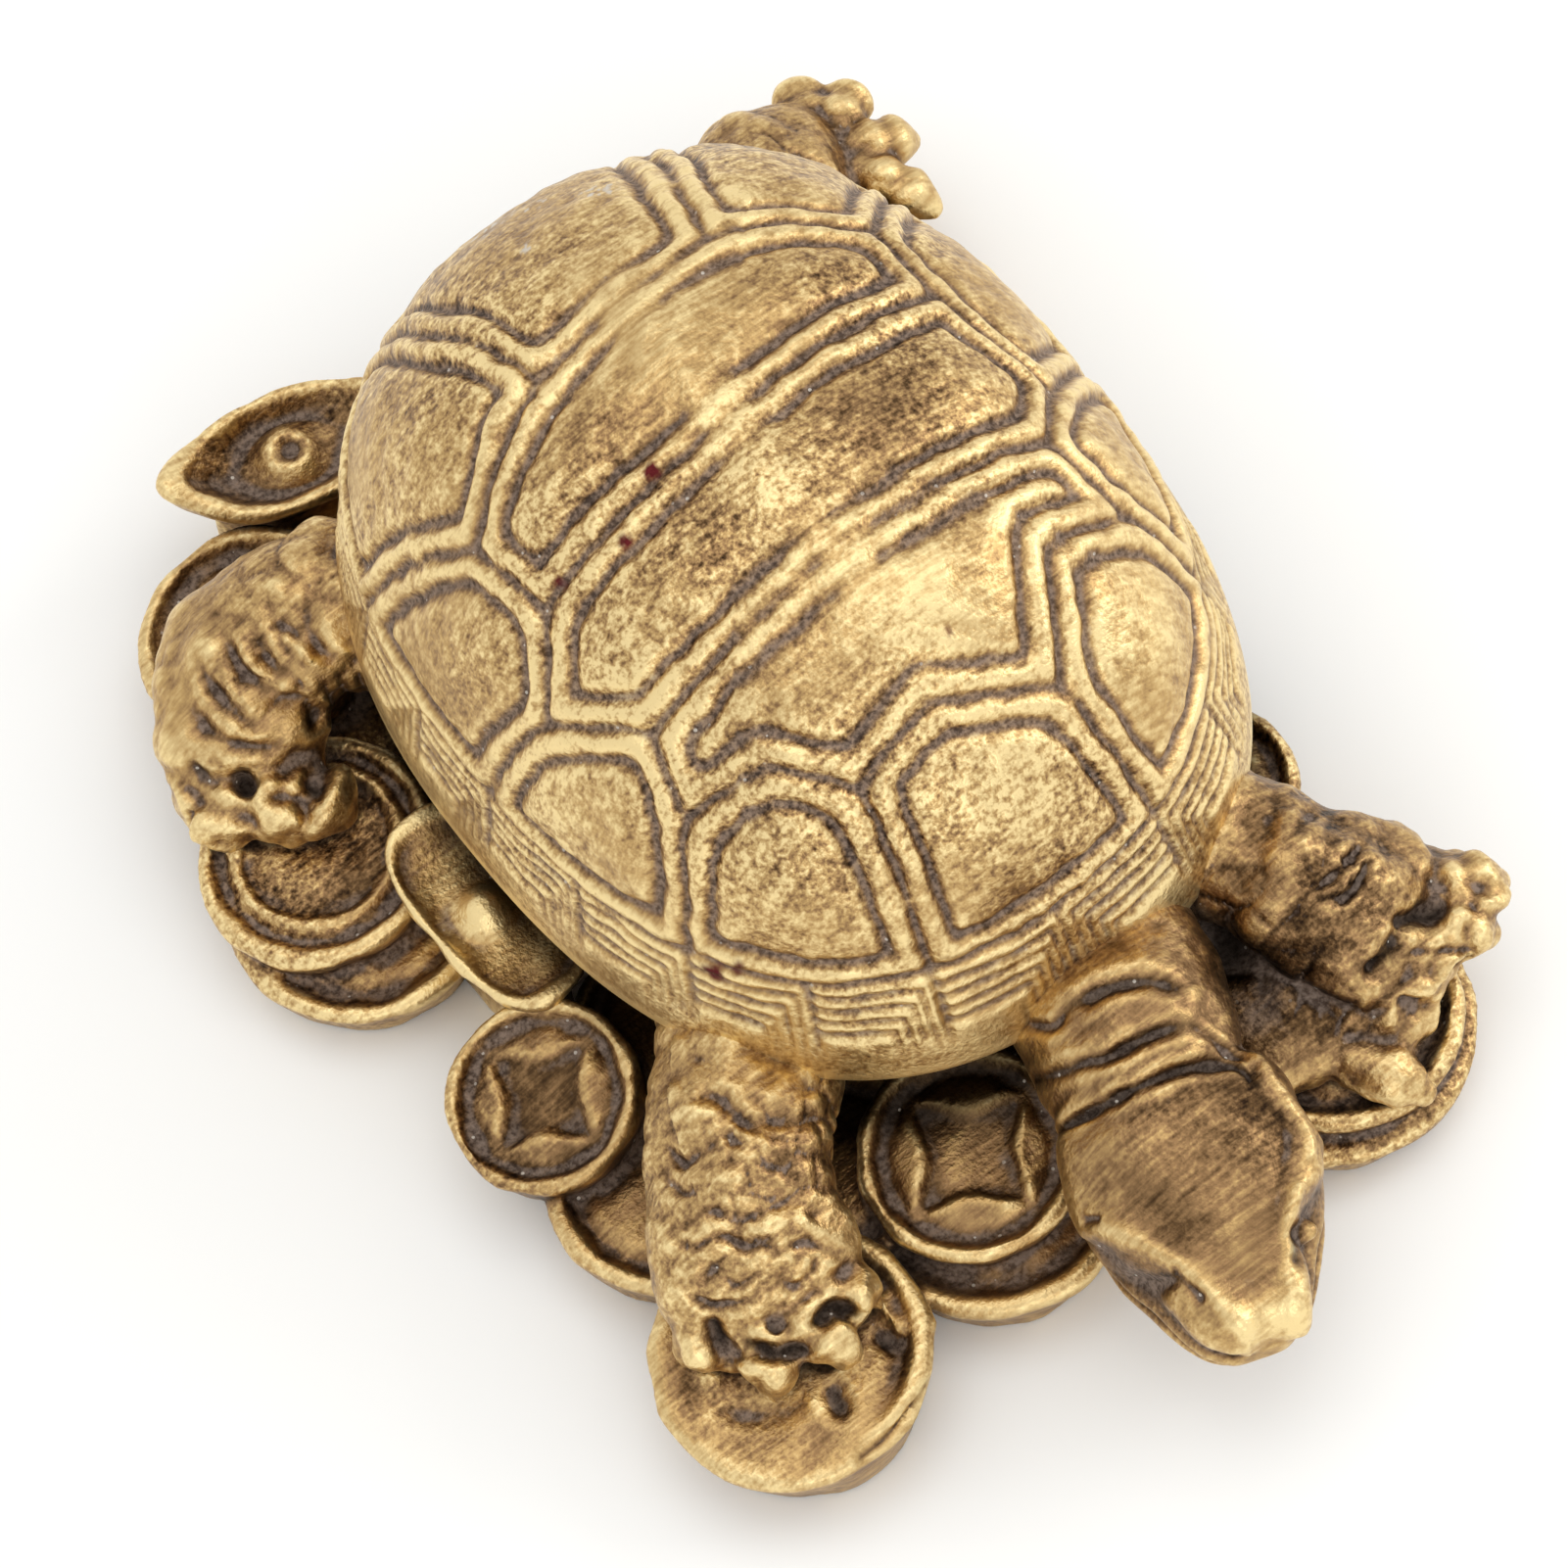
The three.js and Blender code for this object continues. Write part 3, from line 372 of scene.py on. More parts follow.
def bandRelief(points, share):
    # Two tiles under each side plate, each with nested lines that turn a corner towards the head: the lines
    # are where the smaller of the distances from the tile's top and from its head end takes set values.
    place, whole = rimLength(points[:, 0], points[:, 1])
    names = sorted(carving["bandCorners"], key=lambda name: rimLength(*placeOf(name))[0])
    ends = np.array([rimLength(*placeOf(name))[0] for name in names])
    ends = np.sort(np.concatenate([ends, (ends + np.diff(np.append(ends, ends[0] + whole)) / 2.0)]) % whole)
    ends = np.concatenate([[ends[-1] - whole], ends, [ends[0] + whole]])
    i = np.searchsorted(ends, place) - 1
    fromLower, fromUpper = place - ends[i], ends[i + 1] - place
    fromHead = np.where((ends[i] + ends[i + 1]) / 2.0 < whole / 2.0, fromUpper, fromLower)
    down = lengthAt(share) - lengthAt(shell["bandStart"])
    stray, size = carving["tileWaver"]
    nested = np.minimum(fromHead * carving["uprightCloser"], down) + stray * waves(points, size, seed=51)
    fromEnd = np.minimum(fromLower, fromUpper)
    relief = -carving["tileGroove"] * np.exp(-(fromEnd / carving["tileGrooveHalfWidth"]) ** 2)
    for value in carving["tileLines"]:
        relief -= carving["lineDepth"] * np.exp(-((nested - value) / carving["lineHalfWidth"]) ** 2)
    lip = carving["lipStart"]
    relief *= 1.0 - smoothStep(lip - carving["lipFade"], lip, down)
    relief -= carving["lipGroove"] * np.exp(-((down - lip) / carving["lipGrooveHalfWidth"]) ** 2)
    return relief


def shellRelief(points, share):
    # Frames and inner grooves are a profile over the distance from the groove lines, which a sum of
    # exponentials rounds at the corners. Then come the tiles on the band, a Gaussian cut along each groove
    # line, the rubbed keel and a little unevenness.
    strayed = points.copy()
    for stray, size in carving["wavers"]:
        strayed += stray * np.stack([waves(points, size, seed) for seed in (3, 4, 5)], axis=-1)
    distances = [pathDistance(strayed, grooveLine(*pair.split("-"))) for pair in carving["grooves"]]
    around = list(carving["bandCorners"])
    bandLine = np.full(len(points), np.inf)
    for name, nextName in zip(around, around[1:] + around[:1]):
        line = grooveLine(name, nextName, shell["bandStart"], steps=12)
        bandLine = np.minimum(bandLine, pathDistance(strayed, line))
    distances = np.array(distances + [bandLine])
    nearest = distances.min(axis=0)
    k = carving["cornerRound"]
    rounded = np.clip(-np.log(np.exp(-k * distances).sum(axis=0)) / k, 0.0, None)
    frameHeights = np.interp(rounded, *np.array(carving["profile"]).T)
    start, edge = shell["bandStart"], carving["bandEdge"]
    onBand = smoothStep(start - edge, start + edge, share)
    relief = frameHeights * (1.0 - onBand) + bandRelief(points, share) * onBand
    relief -= carving["grooveDepth"] * np.exp(-(nearest / carving["grooveHalfWidth"]) ** 2)
    ends = carving["keelEnds"]
    onKeel = smoothStep(ends[0], ends[1], points[:, 1]) * (1.0 - smoothStep(ends[2], ends[3], points[:, 1]))
    onKeel *= np.exp(-(points[:, 0] / carving["keelWidth"]) ** 2)
    relief = relief * (1.0 - carving["keelWear"] * onKeel) + carving["keelHeight"] * onKeel
    for rise, size in carving["unevenness"]:
        relief += rise * waves(points, size, seed=11)
    return relief, onKeel


# body, legs, neck and head

belly = {
    "halfWidth": 13.1, "halfLength": 17.6, "footHalfWidth": 12.4, "footHalfLength": 16.8, "top": 11.0,
    "rows": 24, "topRound": [0.92, 0.97],   # share of the height where the top draws in, and its size there
}

# middle lines from the shell outwards, and the half-widths across and upright along them
limbs = {
    "foreRight": {
        "path": [[-9.5, -10.5, 8.6], [-13.6, -14.8, 8.4], [-15.7, -17.8, 7.6], [-16.6, -19.6, 6.6],
                 [-17.0, -20.8, 5.5]],
        "across": [3.8, 3.5, 3.8, 4.2, 3.6], "upright": [2.8, 2.7, 2.5, 2.2, 1.5],
    },
    "foreLeft": {
        "path": [[6.2, -13.2, 8.4], [8.4, -19.1, 8.5], [9.9, -21.7, 7.6], [11.1, -23.0, 6.6],
                 [11.8, -23.9, 5.4]],
        "across": [3.3, 3.3, 3.5, 4.0, 3.4], "upright": [2.8, 2.8, 2.6, 2.2, 1.5],
    },
    "hindRight": {
        "path": [[-9.0, 11.0, 8.4], [-13.6, 13.6, 8.6], [-16.8, 13.9, 7.8], [-18.6, 12.3, 6.8],
                 [-19.4, 11.0, 5.6]],
        "across": [3.4, 3.5, 3.8, 3.6, 3.0], "upright": [2.8, 2.8, 2.6, 2.2, 1.5],
    },
    "hindLeft": {
        "path": [[7.5, 13.0, 8.0], [10.8, 17.4, 7.4], [13.0, 18.6, 6.6], [14.6, 18.4, 5.4]],
        "across": [3.2, 3.4, 3.3, 2.6], "upright": [2.6, 2.5, 2.2, 1.5],
    },
    "tail": {
        "path": [[0, 16, 8], [0.2, 19.6, 7.4], [1.0, 21.4, 6.0]],
        "across": [2.2, 1.5, 0.5], "upright": [1.8, 1.3, 0.5],
    },
}

toes = {
    "radius": 1.3, "flatness": 0.9, "arch": 0.9,
    "span": [0.3, 0.94],                     # where a toe starts and ends between the joint and its tip
    "widths": [0.9, 0.85, 1.05, 0.88, 1.12, 0.85, 0.45],   # knuckles and a blunt claw, shares of radius
    # the pad: its reach towards the tips, half-widths as shares of their spread, and half-heights
    "palmReach": 0.7, "palmShare": 0.42, "palmWidths": [0.9, 1.0, 0.8], "palmHeights": [1.3, 1.4, 1.1],
    "feet": {
        "foreRight": {
            "joint": [-16.9, -20.6, 5.4], "stoutness": 1.0, "palm": True,
            "tips": [[-20.9, -19.9, 4.7], [-18.9, -23.3, 4.6], [-15.8, -24.0, 4.7], [-13.2, -22.9, 4.8]],
        },
        "foreLeft": {
            "joint": [11.6, -23.6, 5.6], "stoutness": 1.08, "palm": True,
            "tips": [[16.2, -24.2, 4.9], [14.5, -25.7, 4.7], [12.1, -26.1, 4.6], [9.8, -26.1, 4.6]],
        },
        "hindRight": {
            "joint": [-19.4, 11.2, 5.4], "stoutness": 1.05, "palm": True,
            "tips": [[-22.3, 12.3, 4.6], [-21.8, 9.5, 4.6], [-19.4, 7.9, 4.7], [-17.3, 7.0, 4.8]],
        },
        "hindLeft": {
            "joint": [14.6, 18.4, 5.4], "stoutness": 0.8, "palm": False,
            "tips": [[15.9, 22.7, 4.9], [17.9, 20.8, 4.8], [18.4, 17.3, 4.7], [17.1, 14.0, 4.7]],
        },
    },
    "thumbClaw": {"path": [[6.4, -23.8, 4.8], [7.2, -26.7, 4.6], [8.2, -28.3, 4.2], [8.6, -29, 3.8]],
                  "across": [0.9, 1.2, 1.2, 0.6], "upright": [0.9, 1.0, 0.9, 0.5]},
}

neck = {
    "path": [[1.2, -15, 8.6], [0.8, -19.6, 8.8], [0.3, -21.0, 9.0], [-0.2, -22.8, 9.0], [-0.5, -24.0, 8.9],
             [-0.8, -25.2, 8.6], [-1.2, -27.0, 8.2]],
    "across": [4.4, 4.3, 4.3, 4.1, 3.9, 3.6, 3.2], "upright": [3.6, 3.8, 3.8, 3.6, 3.2, 2.9, 2.4],
    # skin that fills the corner between the neck and the left fore leg
    "web": {"path": [[4.2, -15.5, 6.0], [5.4, -19.4, 5.5], [5.7, -22.6, 5.6], [5.0, -25.6, 4.8]],
            "across": [3.2, 3.4, 3.6, 2.6], "upright": [1.8, 1.5, 1.5, 1.1]},
    # the heel of that leg's foot, and the slope from its underside down to the claw
    "heel": {"path": [[11.8, -21.4, 6.2], [13.4, -22.9, 5.9], [15.0, -24.2, 5.3]],
             "across": [1.9, 2.0, 1.5], "upright": [1.1, 1.1, 1.0]},
    "slope": {"path": [[8.2, -20.5, 6.2], [8.7, -23.0, 5.7], [9.0, -25.2, 5.0], [9.0, -27.0, 4.3]],
              "across": [2.4, 2.7, 2.5, 1.6], "upright": [1.8, 1.7, 1.4, 0.8]},
}

head = {
    "back": [0.0, -23.9], "turn": 19.0,
    "along": [0, 0.9, 2.6, 4.6, 6.6, 8.2, 9.6, 10.8, 11.6],
    "across": [2.8, 4.1, 4.7, 4.8, 4.4, 3.7, 3.0, 2.2, 1.2],
    "topHeight": [9.9, 11.0, 11.3, 11.0, 10.5, 10.1, 9.6, 9.0, 8.0],
    "chinHeight": [7.0, 5.6, 4.8, 4.3, 4.1, 4.3, 4.7, 5.2, 6.2],
    "sidePower": 2.7,
    # the relief starts over this length from the nape, and ends over this reach round the section, in which
    # heights count more
    "nape": [0.3, 1.0], "around": [1.25, 1.5], "upright": 1.5,
    "capFrom": [0.5, 0.62],               # share of the height where the top begins
    # raised edge of the skull cap on each side, as places along the head and aside from its middle
    "ridges": [
        [[0.2, -4.2], [1.4, -4.5], [3.0, -4.9], [4.8, -4.8], [6.1, -3.7], [7.0, -2.9], [8.0, -2.1],
         [9.4, -1.3], [11.0, -0.3]],
        [[1.6, 3.4], [3.0, 3.9], [4.8, 4.5], [6.0, 4.1], [7.0, 3.2], [8.2, 2.7], [9.8, 2.2], [11.2, 1.6]],
    ],
    "ridgeHeight": 0.36, "ridgeHalfWidth": 0.42,
    "capHollow": 0.12, "capHollowInset": 1.3, "capHollowHalfWidth": 0.7,
    # how far the cheek draws in, the distances below the ridge and along the head over which it starts, and
    # its level and half-height as shares of the height
    "cheekDepth": 0.42, "cheekBelow": [0.1, 0.9], "cheekFrom": [2.0, 4.0], "cheekLevel": [0.6, 0.17],
    "eyes": [[7.9, -2.6, 8.5], [8.1, 3.1, 8.5]],        # along, aside, height
    "eyeRadius": 0.55, "eyeRise": 0.4, "eyeStretch": 0.6, "socketRadius": 1.0, "socketDepth": 0.75,
    "mouthHeight": 6.3, "mouthWave": [0.25, 0.9], "mouthDepth": 0.2, "mouthHalfWidth": 0.2,
    "mouthFrom": [5.0, 7.0],
    "snoutRise": 0.25, "snoutAt": 10.9, "snoutHalfLength": 0.8,
}

skinCarving = {
    "row": 1.35, "width": 2.0, "height": 0.24,      # mm along and round the limb, and height of a scale
    "sharpness": [0.6, 0.4],                        # powers of the sines; smaller is squarer
    "bend": 0.25, "bendSizes": [1.8, 2.3],
    "wornSize": 3.0, "wornEdges": [-0.9, 0.9],      # field of the worn places, and where they end in it
    "footward": [0.6, 0.4],                         # height where a scale starts, and what it gains
    "footFade": [3.0, 1.0], "footShare": 0.3,       # mm from the limb's end, and share of the scales left
    "limbReach": [1.25, 1.5],                       # reach from the limb's middle over which they end
    "lumps": [[0.14, 1.6], [0.03, 0.55]],           # rise and size
    "lumpShares": [0.7, 0.5],                       # share of the lumps on the neck, and less on the head
    # smooth places: place and radius
    "calm": [[4.7, -22.5, 5.8, 3.6], [8.6, -24.6, 5.2, 2.6], [17.0, 18.4, 5.0, 5.0]],
    "calmFade": [0.6, 1.2],                         # shares of the radius
    # pits between the toes and where the left fore leg meets the neck: place and radius
    "pits": [[15.1, -24.0, 5.8, 0.55], [12.2, -24.5, 6.4, 0.65], [10.0, -24.7, 6.4, 0.65],
             [-19.1, -20.6, 5.6, 0.75], [-17.9, -21.9, 5.7, 0.75], [-15.4, -22.8, 5.6, 0.75],
             [-14.3, -24.6, 5.1, 0.65], [-21.0, 12.5, 5.7, 0.65], [-19.8, 10.7, 6.1, 0.75],
             [-17.8, 8.9, 6.2, 0.7], [-16.6, 11.4, 7.2, 0.65], [5.6, -20.3, 7.2, 1.5]],
    "pitDepth": 0.7,
}

# lines cut into the skin (+) or raised on it (-) by hand: depth, half-width, places along the line
marks = {
    "depth": 0.8, "width": 1.2,          # all cuts and ridges together, against the list
    "spacing": 0.12,                     # mm between the points along a line
    "margin": 2.0,                       # mm round a line that it can mark
    "sheer": 0.9,                        # mm off the surface within which a line counts as on it
    "taper": 0.6,                        # power of the sine from end to end; smaller is blunter
    # swelling beside a cut as a share of its depth, its distance and half-width as shares of the cut's
    "lipRise": 0.16, "lipAt": 1.9, "lipHalfWidth": 0.8,
    "deepFrom": [0.28, 0.6],             # a cut of these depths goes from brown to black, painted shade in the deep cuts
    "blackNarrower": 1.5,                # so many times narrower than the cut is its black of painted shade
    "patchiness": 0.45, "patchSize": 0.8,   # share by which the depth comes and goes along a line, and mm
    "lines": {
        "foreRight": [
            [0.35, 0.3, [[-14.9, -13.7, 11.2], [-14.3, -15.0, 11.2], [-13.9, -16.1, 11.1],
                         [-12.8, -16.9, 10.6], [-11.5, -17.2, 9.9]]],
            [0.3, 0.2, [[-14.8, -15.5, 11.0], [-14.8, -16.3, 10.9], [-14.5, -17.1, 11.0]]],
            [0.3, 0.2, [[-17.0, -14.6, 9.9], [-16.9, -15.6, 10.2], [-15.9, -16.0, 10.6],
                        [-15.3, -16.0, 10.8]]],
            [0.25, 0.2, [[-17.7, -15.3, 9.5], [-17.6, -16.7, 10.1], [-16.7, -17.0, 10.4]]],
            [0.22, 0.3, [[-18.7, -16.3, 9.2], [-18.4, -17.5, 9.7], [-17.1, -18.0, 10.1],
                         [-16.0, -19.0, 9.9], [-14.4, -19.3, 9.7]]],
            [0.3, 0.2, [[-18.9, -17.3, 9.5], [-18.5, -18.3, 9.3], [-17.4, -18.9, 9.7], [-16.7, -19.8, 9.2],
                        [-15.4, -20.2, 9.5]]],
            [0.25, 0.2, [[-19.8, -18.4, 8.6], [-19.3, -19.4, 8.6], [-18.1, -19.6, 8.8], [-17.9, -20.4, 8.3],
                         [-17.0, -20.7, 8.7]]],
            [0.35, 0.2, [[-19.5, -19.6, 8.1], [-19.0, -20.4, 7.8], [-17.9, -21.1, 8.0],
                         [-16.9, -21.0, 8.3]]],
            [0.3, 0.2, [[-16.6, -21.0, 8.6], [-16.1, -21.6, 7.7], [-15.2, -21.7, 7.9],
                        [-14.7, -21.4, 8.4]]],
            [0.3, 0.2, [[-16.4, -19.6, 9.4], [-15.9, -20.6, 9.2], [-14.8, -21.0, 8.8],
                        [-14.0, -21.6, 7.8]]],
            [0.6, 0.3, [[-16.2, -23.0, 6.9], [-15.2, -22.8, 6.7], [-14.7, -23.5, 6.2]]],
            [0.7, 0.32, [[-19.4, -20.7, 7.0], [-19.5, -21.2, 6.4]]],
            [0.7, 0.3, [[-18.7, -21.9, 6.6], [-18.1, -22.7, 6.3], [-17.2, -23.1, 6.0]]],
            [0.5, 0.25, [[-17.6, -22.0, 7.0], [-17.5, -22.2, 7.0]]],
            [-0.3, 0.25, [[-14.5, -20.1, 9.5], [-14.1, -20.7, 8.7], [-13.5, -21.2, 8.2]]],
            [-0.4, 0.35, [[-20.5, -20.5, 6.5], [-20.4, -21.0, 5.1]]],
            [-0.5, 0.7, [[-18.9, -23.3, 6.0], [-18.8, -23.4, 6.0]]],
            [-0.5, 0.65, [[-15.8, -24.2, 5.5], [-15.8, -24.2, 5.2]]],
        ],
        "foreRightCoin": [
            [0.7, 0.35, [[-14.1, -24.0, 3.9], [-14.1, -24.1, 3.9]]],
            [0.15, 0.3, [[-20.8, -22.2, 4.0], [-20.0, -23.2, 3.8], [-18.3, -24.2, 3.9]]],
            [0.5, 0.28, [[-16.9, -24.5, 3.9], [-17.1, -25.1, 3.9]]],
            [0.4, 0.22, [[-17.7, -27.3, 3.7], [-16.4, -27.3, 3.9], [-15.0, -27.0, 3.9],
                         [-13.8, -26.4, 3.8]]],
            [-0.45, 0.35, [[-13.2, -22.7, 4.0], [-13.4, -23.9, 3.9]]],
            [-0.12, 0.3, [[-17.8, -24.3, 4.0], [-17.9, -25.5, 3.9]]],
        ],
        "foreLeft": [
            [0.35, 0.2, [[11.7, -21.6, 10.0], [11.0, -21.9, 10.3], [9.9, -22.2, 10.4], [9.2, -22.2, 10.3]]],
            [0.45, 0.2, [[11.5, -22.4, 10.0], [10.6, -22.8, 10.0], [9.8, -22.9, 9.9], [9.0, -22.5, 10.2]]],
            [0.25, 0.25, [[11.9, -17.8, 9.7], [11.4, -19.1, 10.5], [10.4, -19.8, 11.2],
                          [9.8, -19.9, 11.3]]],
            [0.65, 0.4, [[11.4, -24.6, 8.2], [12.8, -24.5, 6.9]]],
            [0.65, 0.45, [[9.3, -25.3, 8.0], [10.5, -25.0, 8.0]]],
            [0.2, 0.3, [[13.8, -24.0, 7.2], [15.1, -24.6, 6.5]]],
            [0.5, 0.28, [[12.1, -26.9, 6.1], [12.6, -27.0, 5.6]]],
            [0.25, 0.15, [[10.7, -25.2, 7.5], [12.2, -26.0, 6.8], [13.1, -26.3, 6.1]]],
            [0.35, 0.2, [[9.6, -26.4, 6.3], [10.1, -27.3, 6.1]]],
            [-0.25, 0.22, [[9.4, -22.4, 10.3], [10.2, -22.7, 10.0], [10.9, -22.4, 10.0]]],
            [-0.4, 0.3, [[14.4, -25.1, 6.4], [15.4, -25.0, 6.0]]],
            [-0.35, 0.3, [[12.7, -25.0, 6.9], [13.6, -25.3, 6.9], [13.8, -26.5, 5.9]]],
            [-0.5, 0.45, [[11.1, -26.6, 6.5], [11.2, -26.7, 6.5]]],
            [-0.45, 0.4, [[11.1, -27.0, 5.3], [11.2, -27.0, 4.8]]],
            [-0.4, 0.3, [[9.4, -25.8, 6.2], [8.8, -26.2, 5.6]]],
        ],
        "hindRight": [
            [0.26, 0.28, [[-17.6, 14.3, 10.6], [-17.9, 13.1, 10.3], [-17.4, 11.4, 9.6]]],
            [0.24, 0.26, [[-16.4, 13.6, 10.8], [-16.8, 11.9, 10.3], [-16.2, 10.7, 9.5]]],
            [0.2, 0.26, [[-15.3, 14.2, 11.3], [-15.6, 13.4, 11.1], [-15.3, 12.4, 10.9]]],
            [0.26, 0.28, [[-18.9, 14.2, 10.0], [-19.1, 12.7, 9.6], [-18.6, 10.9, 8.8]]],
            [0.28, 0.3, [[-20.3, 13.5, 8.8], [-20.2, 12.1, 8.5], [-19.3, 10.6, 8.4], [-18.4, 10.2, 8.0]]],
            [0.22, 0.28, [[-14.5, 12.7, 11.2], [-14.9, 11.5, 10.7], [-14.6, 10.5, 10.1]]],
            [-0.25, 0.3, [[-17.1, 14.0, 10.7], [-17.3, 12.6, 10.3], [-16.9, 11.1, 9.6]]],
            [-0.25, 0.3, [[-18.2, 14.3, 10.3], [-18.4, 13.0, 9.9], [-18.1, 11.3, 9.2]]],
            [-0.25, 0.3, [[-19.6, 13.8, 9.5], [-19.6, 12.4, 9.1], [-18.9, 11.0, 8.7]]],
            [0.6, 0.4, [[-16.5, 10.1, 8.1], [-16.5, 10.0, 8.0]]],
            [0.7, 0.35, [[-20.1, 10.2, 6.9], [-20.1, 10.0, 6.9]]],
            [0.6, 0.4, [[-18.0, 8.5, 6.5], [-18.0, 8.3, 6.6]]],
            [0.5, 0.4, [[-21.3, 11.7, 7.5], [-21.2, 11.5, 7.3]]],
            [0.35, 0.2, [[-22.5, 10.9, 6.1], [-22.6, 10.7, 5.6]]],
            [0.35, 0.22, [[-19.8, 9.0, 7.2], [-18.8, 8.5, 6.7], [-18.9, 7.7, 6.4]]],
            [-0.25, 0.2, [[-15.6, 12.4, 10.6], [-15.5, 11.2, 10.6]]],
            [-0.3, 0.22, [[-18.4, 12.7, 9.6], [-18.3, 11.5, 9.4]]],
            [-0.4, 0.35, [[-22.3, 10.3, 6.3], [-22.1, 9.6, 5.2], [-20.6, 8.4, 5.5]]],
            [-0.4, 0.4, [[-20.1, 8.8, 6.6], [-19.3, 8.0, 6.5]]],
        ],
        "neck": [
            [0.5, 0.22, [[-4.7, -23.4, 9.3], [-3.6, -24.0, 9.8], [-1.9, -24.9, 11.6], [0.1, -25.5, 11.7],
                         [1.9, -26.1, 10.9], [2.2, -27.5, 10.8]]],
            [0.45, 0.25, [[-4.0, -21.1, 9.1], [-2.8, -22.9, 11.8], [-0.9, -23.7, 12.4], [0.3, -24.0, 12.6],
                          [1.7, -24.5, 12.3]]],
            [0.45, 0.3, [[-1.8, -20.9, 12.6], [-0.2, -21.3, 13.0], [1.2, -22.0, 12.8], [2.0, -22.8, 12.4]]],
            [0.3, 0.2, [[1.7, -24.5, 12.3], [2.3, -25.4, 11.5], [2.5, -26.3, 10.6], [2.3, -27.5, 10.8]]],
            [0.35, 0.2, [[-3.6, -19.4, 10.9], [-2.8, -20.8, 11.9], [-1.8, -20.9, 12.6]]],
        ],
        "head": [
            [-0.3, 0.25, [[2.3, -27.5, 10.8], [2.5, -29.1, 10.3], [2.4, -30.3, 9.8], [1.3, -31.2, 10.0],
                          [0.0, -32.2, 9.9], [-1.5, -34.0, 9.4]]],
            [0.08, 0.25, [[2.3, -28.5, 10.5], [2.0, -29.5, 10.2], [0.7, -31.0, 10.1], [-0.5, -32.0, 9.9]]],
            [0.5, 0.4, [[-0.2, -32.9, 9.4], [-0.6, -33.6, 9.4]]],
            [0.35, 0.25, [[-4.8, -31.3, 9.8], [-4.6, -32.6, 9.7]]],
            [0.3, 0.35, [[-6.3, -27.6, 6.5], [-6.1, -29.1, 7.0], [-5.4, -30.6, 8.4], [-4.7, -31.8, 9.9],
                         [-4.3, -33.4, 9.7]]],
            [0.3, 0.15, [[-6.1, -27.1, 9.3], [-5.8, -27.6, 9.8]]],
        ],
    },
}


def ovalRing(turns, halfWidth, halfHeight, power):
    # a superellipse: the cosine and the sine, each to the power 2 / power with its sign kept
    c, s = np.cos(turns), np.sin(turns)
    across = halfWidth * np.sign(c) * abs(c) ** (2.0 / power)
    return across, halfHeight * np.sign(s) * abs(s) ** (2.0 / power)


def pathFrames(path, across, upright, count):
    # middle points on a smooth curve, its direction, the level direction square to that, the third
    # direction and the half-widths
    rows = splinePoints(np.column_stack([path, across, upright]), count)
    centre, widths = rows[:, :3], rows[:, 3:]
    along = unit(np.gradient(centre, axis=0))
    aside = unit(np.stack([-along[:, 1], along[:, 0], np.zeros(count)], axis=-1))
    return centre, along, aside, np.cross(along, aside), widths


def limbSkin(path, across, upright, count=40, sides=40, capRows=6, capLength=0.7):
    # elliptical rings square to a smooth path; at each end they shrink by the cosine, and step on by the
    # sine, of a quarter turn
    centre, along, aside, up, widths = pathFrames(path, across, upright, count)
    bend = np.linspace(0.0, np.pi / 2, capRows + 1)[1:]
    step = np.concatenate([-np.sin(bend[::-1]), np.zeros(count), np.sin(bend)])
    size = np.concatenate([np.cos(bend[::-1]), np.ones(count), np.cos(bend)])
    i = np.concatenate([np.zeros(capRows, int), np.arange(count), np.full(capRows, count - 1)])
    turns = np.linspace(0.0, 2.0 * np.pi, sides, endpoint=False)[None, :, None]
    rings = (centre[i] + along[i] * (step * widths[i, 1] * capLength)[:, None])[:, None]
    rings = rings + (aside[i] * (size * widths[i, 0])[:, None])[:, None] * np.cos(turns)
    rings = rings + (up[i] * (size * widths[i, 1])[:, None])[:, None] * np.sin(turns)
    return closedSkin(rings)


def toeSkin(joint, tip, stoutness):
    # a knuckled finger straight from the foot's joint to its tip, raised by a sine arch
    joint, tip = np.array(joint), np.array(tip)
    widths = np.array(toes["widths"]) * toes["radius"] * stoutness
    share = np.linspace(*toes["span"], len(widths))[:, None]
    path = joint * (1.0 - share) + tip * share
    path[:, 2] += toes["arch"] * np.sin(share[:, 0] * np.pi)
    return limbSkin(path, widths, widths * toes["flatness"], count=26, sides=24)


def palmSkin(joint, tips):
    # a broad pad from the joint towards the middle of the toes, nearly as wide as they spread
    joint, tips = np.array(joint), np.array(tips)
    middle = joint * (1.0 - toes["palmReach"]) + tips.mean(axis=0) * toes["palmReach"]
    spread = np.linalg.norm(tips[-1] - tips[0]) * toes["palmShare"]
    widths = [spread * share for share in toes["palmWidths"]]
    return limbSkin([joint, (joint + middle) / 2.0, middle], widths, toes["palmHeights"])


def headPlace(along, aside):
    # plan place of a length along the head's turned axis and a distance aside from it
    turn = np.radians(head["turn"])
    return (head["back"][0] - along * np.sin(turn) + aside * np.cos(turn),
            head["back"][1] - along * np.cos(turn) - aside * np.sin(turn))


def headSkin(count=60, sides=64):
    # superelliptical sections across the turned axis, from the nape to the nose
    stations = np.column_stack([head[key] for key in ("along", "across", "topHeight", "chinHeight")])
    rows = splinePoints(stations, count)
    turns = np.linspace(0.0, 2.0 * np.pi, sides, endpoint=False)[None]
    along, across, top, chin = (rows[:, k:k + 1] for k in range(4))
    aside, rise = ovalRing(turns, across, (top - chin) / 2.0, head["sidePower"])
    x, y = headPlace(along + 0.0 * turns, -aside)
    return closedSkin(np.stack([x, y, (top + chin) / 2.0 + rise], axis=-1))


